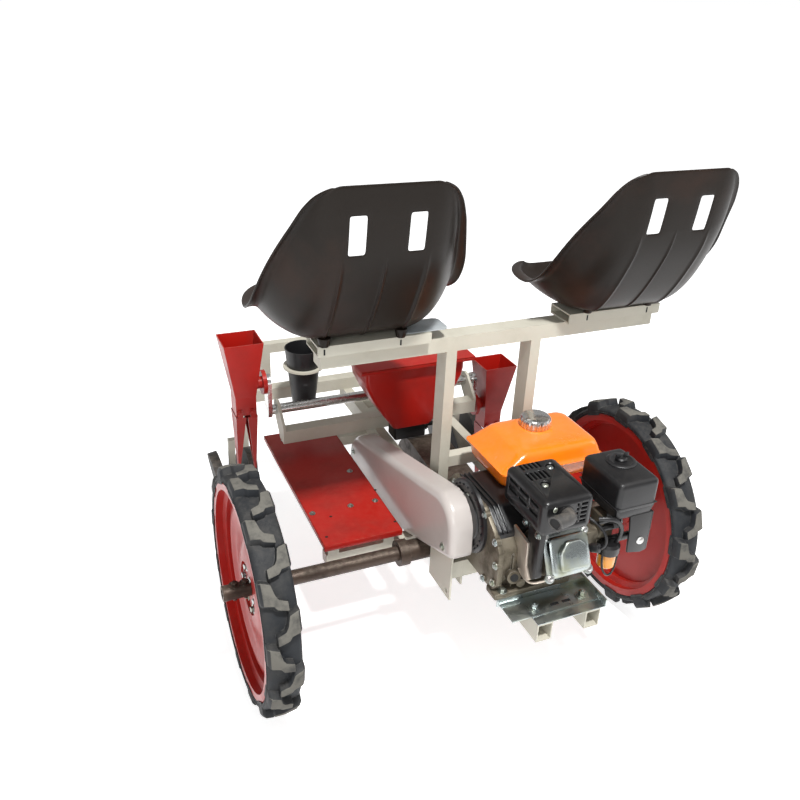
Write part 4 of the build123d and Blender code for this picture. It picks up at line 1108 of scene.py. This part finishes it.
def make_floor_details():
    # dark discs of painted shade where the plates have holes
    bm = bmesh.new()
    for x, y in FLOOR_HOLES:
        rod(bm, place(x, y, FLOOR_TOP - 0.4), Z_AXIS, 4, 0.8, sides=16)
    make_object(bm, "floor_hole_shades", PAINTED_HOLE_SHADE)
    bm = bmesh.new()
    for x, y in FLOOR_SCREWS:
        bolt(bm, place(x, y, FLOOR_TOP), Z_AXIS, 5)
    make_object(bm, "floor_screws", ZINC)
    bm = bmesh.new()
    for x0, x1, y0, y1 in FLOOR_PLATES:
        block(bm, (x0, x1), (y0 - 2, y0 + 0.5), (318, FLOOR_TOP), 0.8)
        block(bm, (x0 - 0.5, x0 + 2), (y0, y1), (322, FLOOR_TOP), 0.8)
        block(bm, (x1 - 2, x1 + 0.5), (y0, y1), (322, FLOOR_TOP), 0.8)
    make_object(bm, "floor_folds", RED)


make_floor_details()

# Finishes of the drawn pieces that keep their shape

SIDES = ("left", "right")
PRESS_WHEELS = [f"press_wheel_{row}_{side}" for row in ("inner", "outer") for side in SIDES]
JAWS = [f"jaw_{row}_{side}" for row in ("inner", "outer") for side in SIDES]
FINISHES = {
    RED: ["rim_left", "rim_right", "floor_plates", "planter_cup_left", "planter_cup_right", *JAWS],
    CREAM: ["chassis_rails", "engine_frame", "side_plates", "seat_frame", "seat_channels", "floor_supports",
            "planter_beam", "rear_frame", "press_arms", "handlebar", "pot_rings"],
    GREASY: ["axle_tube_left", "axle_tube_right", "axle_housings", "gear_case"],
    BLACK_ENAMEL: ["drive_case"],
    BLACK_PLASTIC: ["seedling_pots"],
    GRIP: ["handle_grips", *PRESS_WHEELS],
    CHROME: ["planting_shaft"],
}
for finish, names in FINISHES.items():
    for name in names:
        nodes[name].data.materials.clear()
        nodes[name].data.materials.append(finish)

# Room: pale floor, soft lamps, and the photograph's view

FLOOR_GLOW = 0.68
WORLD_STRENGTH = 0.4
# name: place, what it points at, size and power
LAMPS = {
    "key_lamp": ((-0.3, -2.4, 5.2), (0, 0, 0.4), 0.5, 330),
    "front_lamp": ((-2.6, -4.0, 2.2), (0, 0, 0.4), 2.4, 60),
    "side_lamp": ((3.8, -1.2, 2.8), (0, 0, 0.5), 2.4, 30),
}
CAMERA_PLACE = (-0.90928, -1.93885, 1.6349)
CAMERA_YAW, CAMERA_PITCH, CAMERA_ROLL = (math.radians(angle) for angle in (24.131, 27.291, 2.513))
CAMERA_LENS = 37.53


def ray_mask(tree, first, second):
    """Whether a ray is of one of two kinds."""
    rays = tree.nodes.new("ShaderNodeLightPath")
    either = add_node(tree, "ShaderNodeMath", operation="MAXIMUM")
    tree.links.new(rays.outputs[first], either.inputs[0])
    tree.links.new(rays.outputs[second], either.inputs[1])
    return either.outputs[0]


def make_floor():
    """Pale floor that the camera and reflections see white, with the object's shadow kept."""
    mesh = bpy.data.meshes.new("studio_floor")
    bm = bmesh.new()
    bmesh.ops.create_grid(bm, x_segments=1, y_segments=1, size=60)
    bm.to_mesh(mesh)
    bm.free()
    add_to_scene("studio_floor", mesh)
    material = bpy.data.materials.new("studio_floor")
    material.use_nodes = True
    tree = material.node_tree
    shader = tree.nodes["Principled BSDF"]
    shader.inputs["Base Color"].default_value = (0.86, 0.86, 0.86, 1)
    shader.inputs["Roughness"].default_value = 1.0
    shader.inputs["Specular IOR Level"].default_value = 0.0
    shader.inputs["Emission Color"].default_value = (1, 1, 1, 1)
    glow = add_node(tree, "ShaderNodeMath", {1: FLOOR_GLOW}, operation="MULTIPLY")
    tree.links.new(ray_mask(tree, "Is Camera Ray", "Is Glossy Ray"), glow.inputs[0])
    tree.links.new(glow.outputs[0], shader.inputs["Emission Strength"])
    mesh.materials.append(material)


def make_light():
    """World that is white to the camera and dimmer as light, and three soft lamps."""
    world = bpy.data.worlds.new("studio_world")
    bpy.context.scene.world = world
    world.use_nodes = True
    tree = world.node_tree
    background = tree.nodes["Background"]
    background.inputs["Color"].default_value = (1, 1, 1, 1)
    strength = add_node(tree, "ShaderNodeMapRange", {"To Min": WORLD_STRENGTH, "To Max": 1.0})
    tree.links.new(ray_mask(tree, "Is Camera Ray", "Is Transmission Ray"), strength.inputs["Value"])
    tree.links.new(strength.outputs["Result"], background.inputs["Strength"])
    for name, (spot, target, size, power) in LAMPS.items():
        lamp = bpy.data.lights.new(name, "AREA")
        lamp.size = size
        lamp.energy = power
        holder = add_to_scene(name, lamp)
        holder.location = spot
        holder.rotation_euler = (Vector(target) - Vector(spot)).to_track_quat("-Z", "Y").to_euler()


def make_camera():
    camera = bpy.data.cameras.new("camera")
    camera.sensor_width = 36
    camera.lens = CAMERA_LENS
    camera.clip_end = 200
    holder = add_to_scene("camera", camera)
    yaw = Matrix.Rotation(-CAMERA_YAW, 4, "Z")
    pitch = Matrix.Rotation(math.pi / 2 - CAMERA_PITCH, 4, "X")
    roll = Matrix.Rotation(CAMERA_ROLL, 4, "Z")
    holder.matrix_world = Matrix.Translation(CAMERA_PLACE) @ (yaw @ pitch @ roll)
    bpy.context.scene.camera = holder


make_floor()
make_light()
make_camera()
bpy.context.scene.view_settings.view_transform = "Standard"
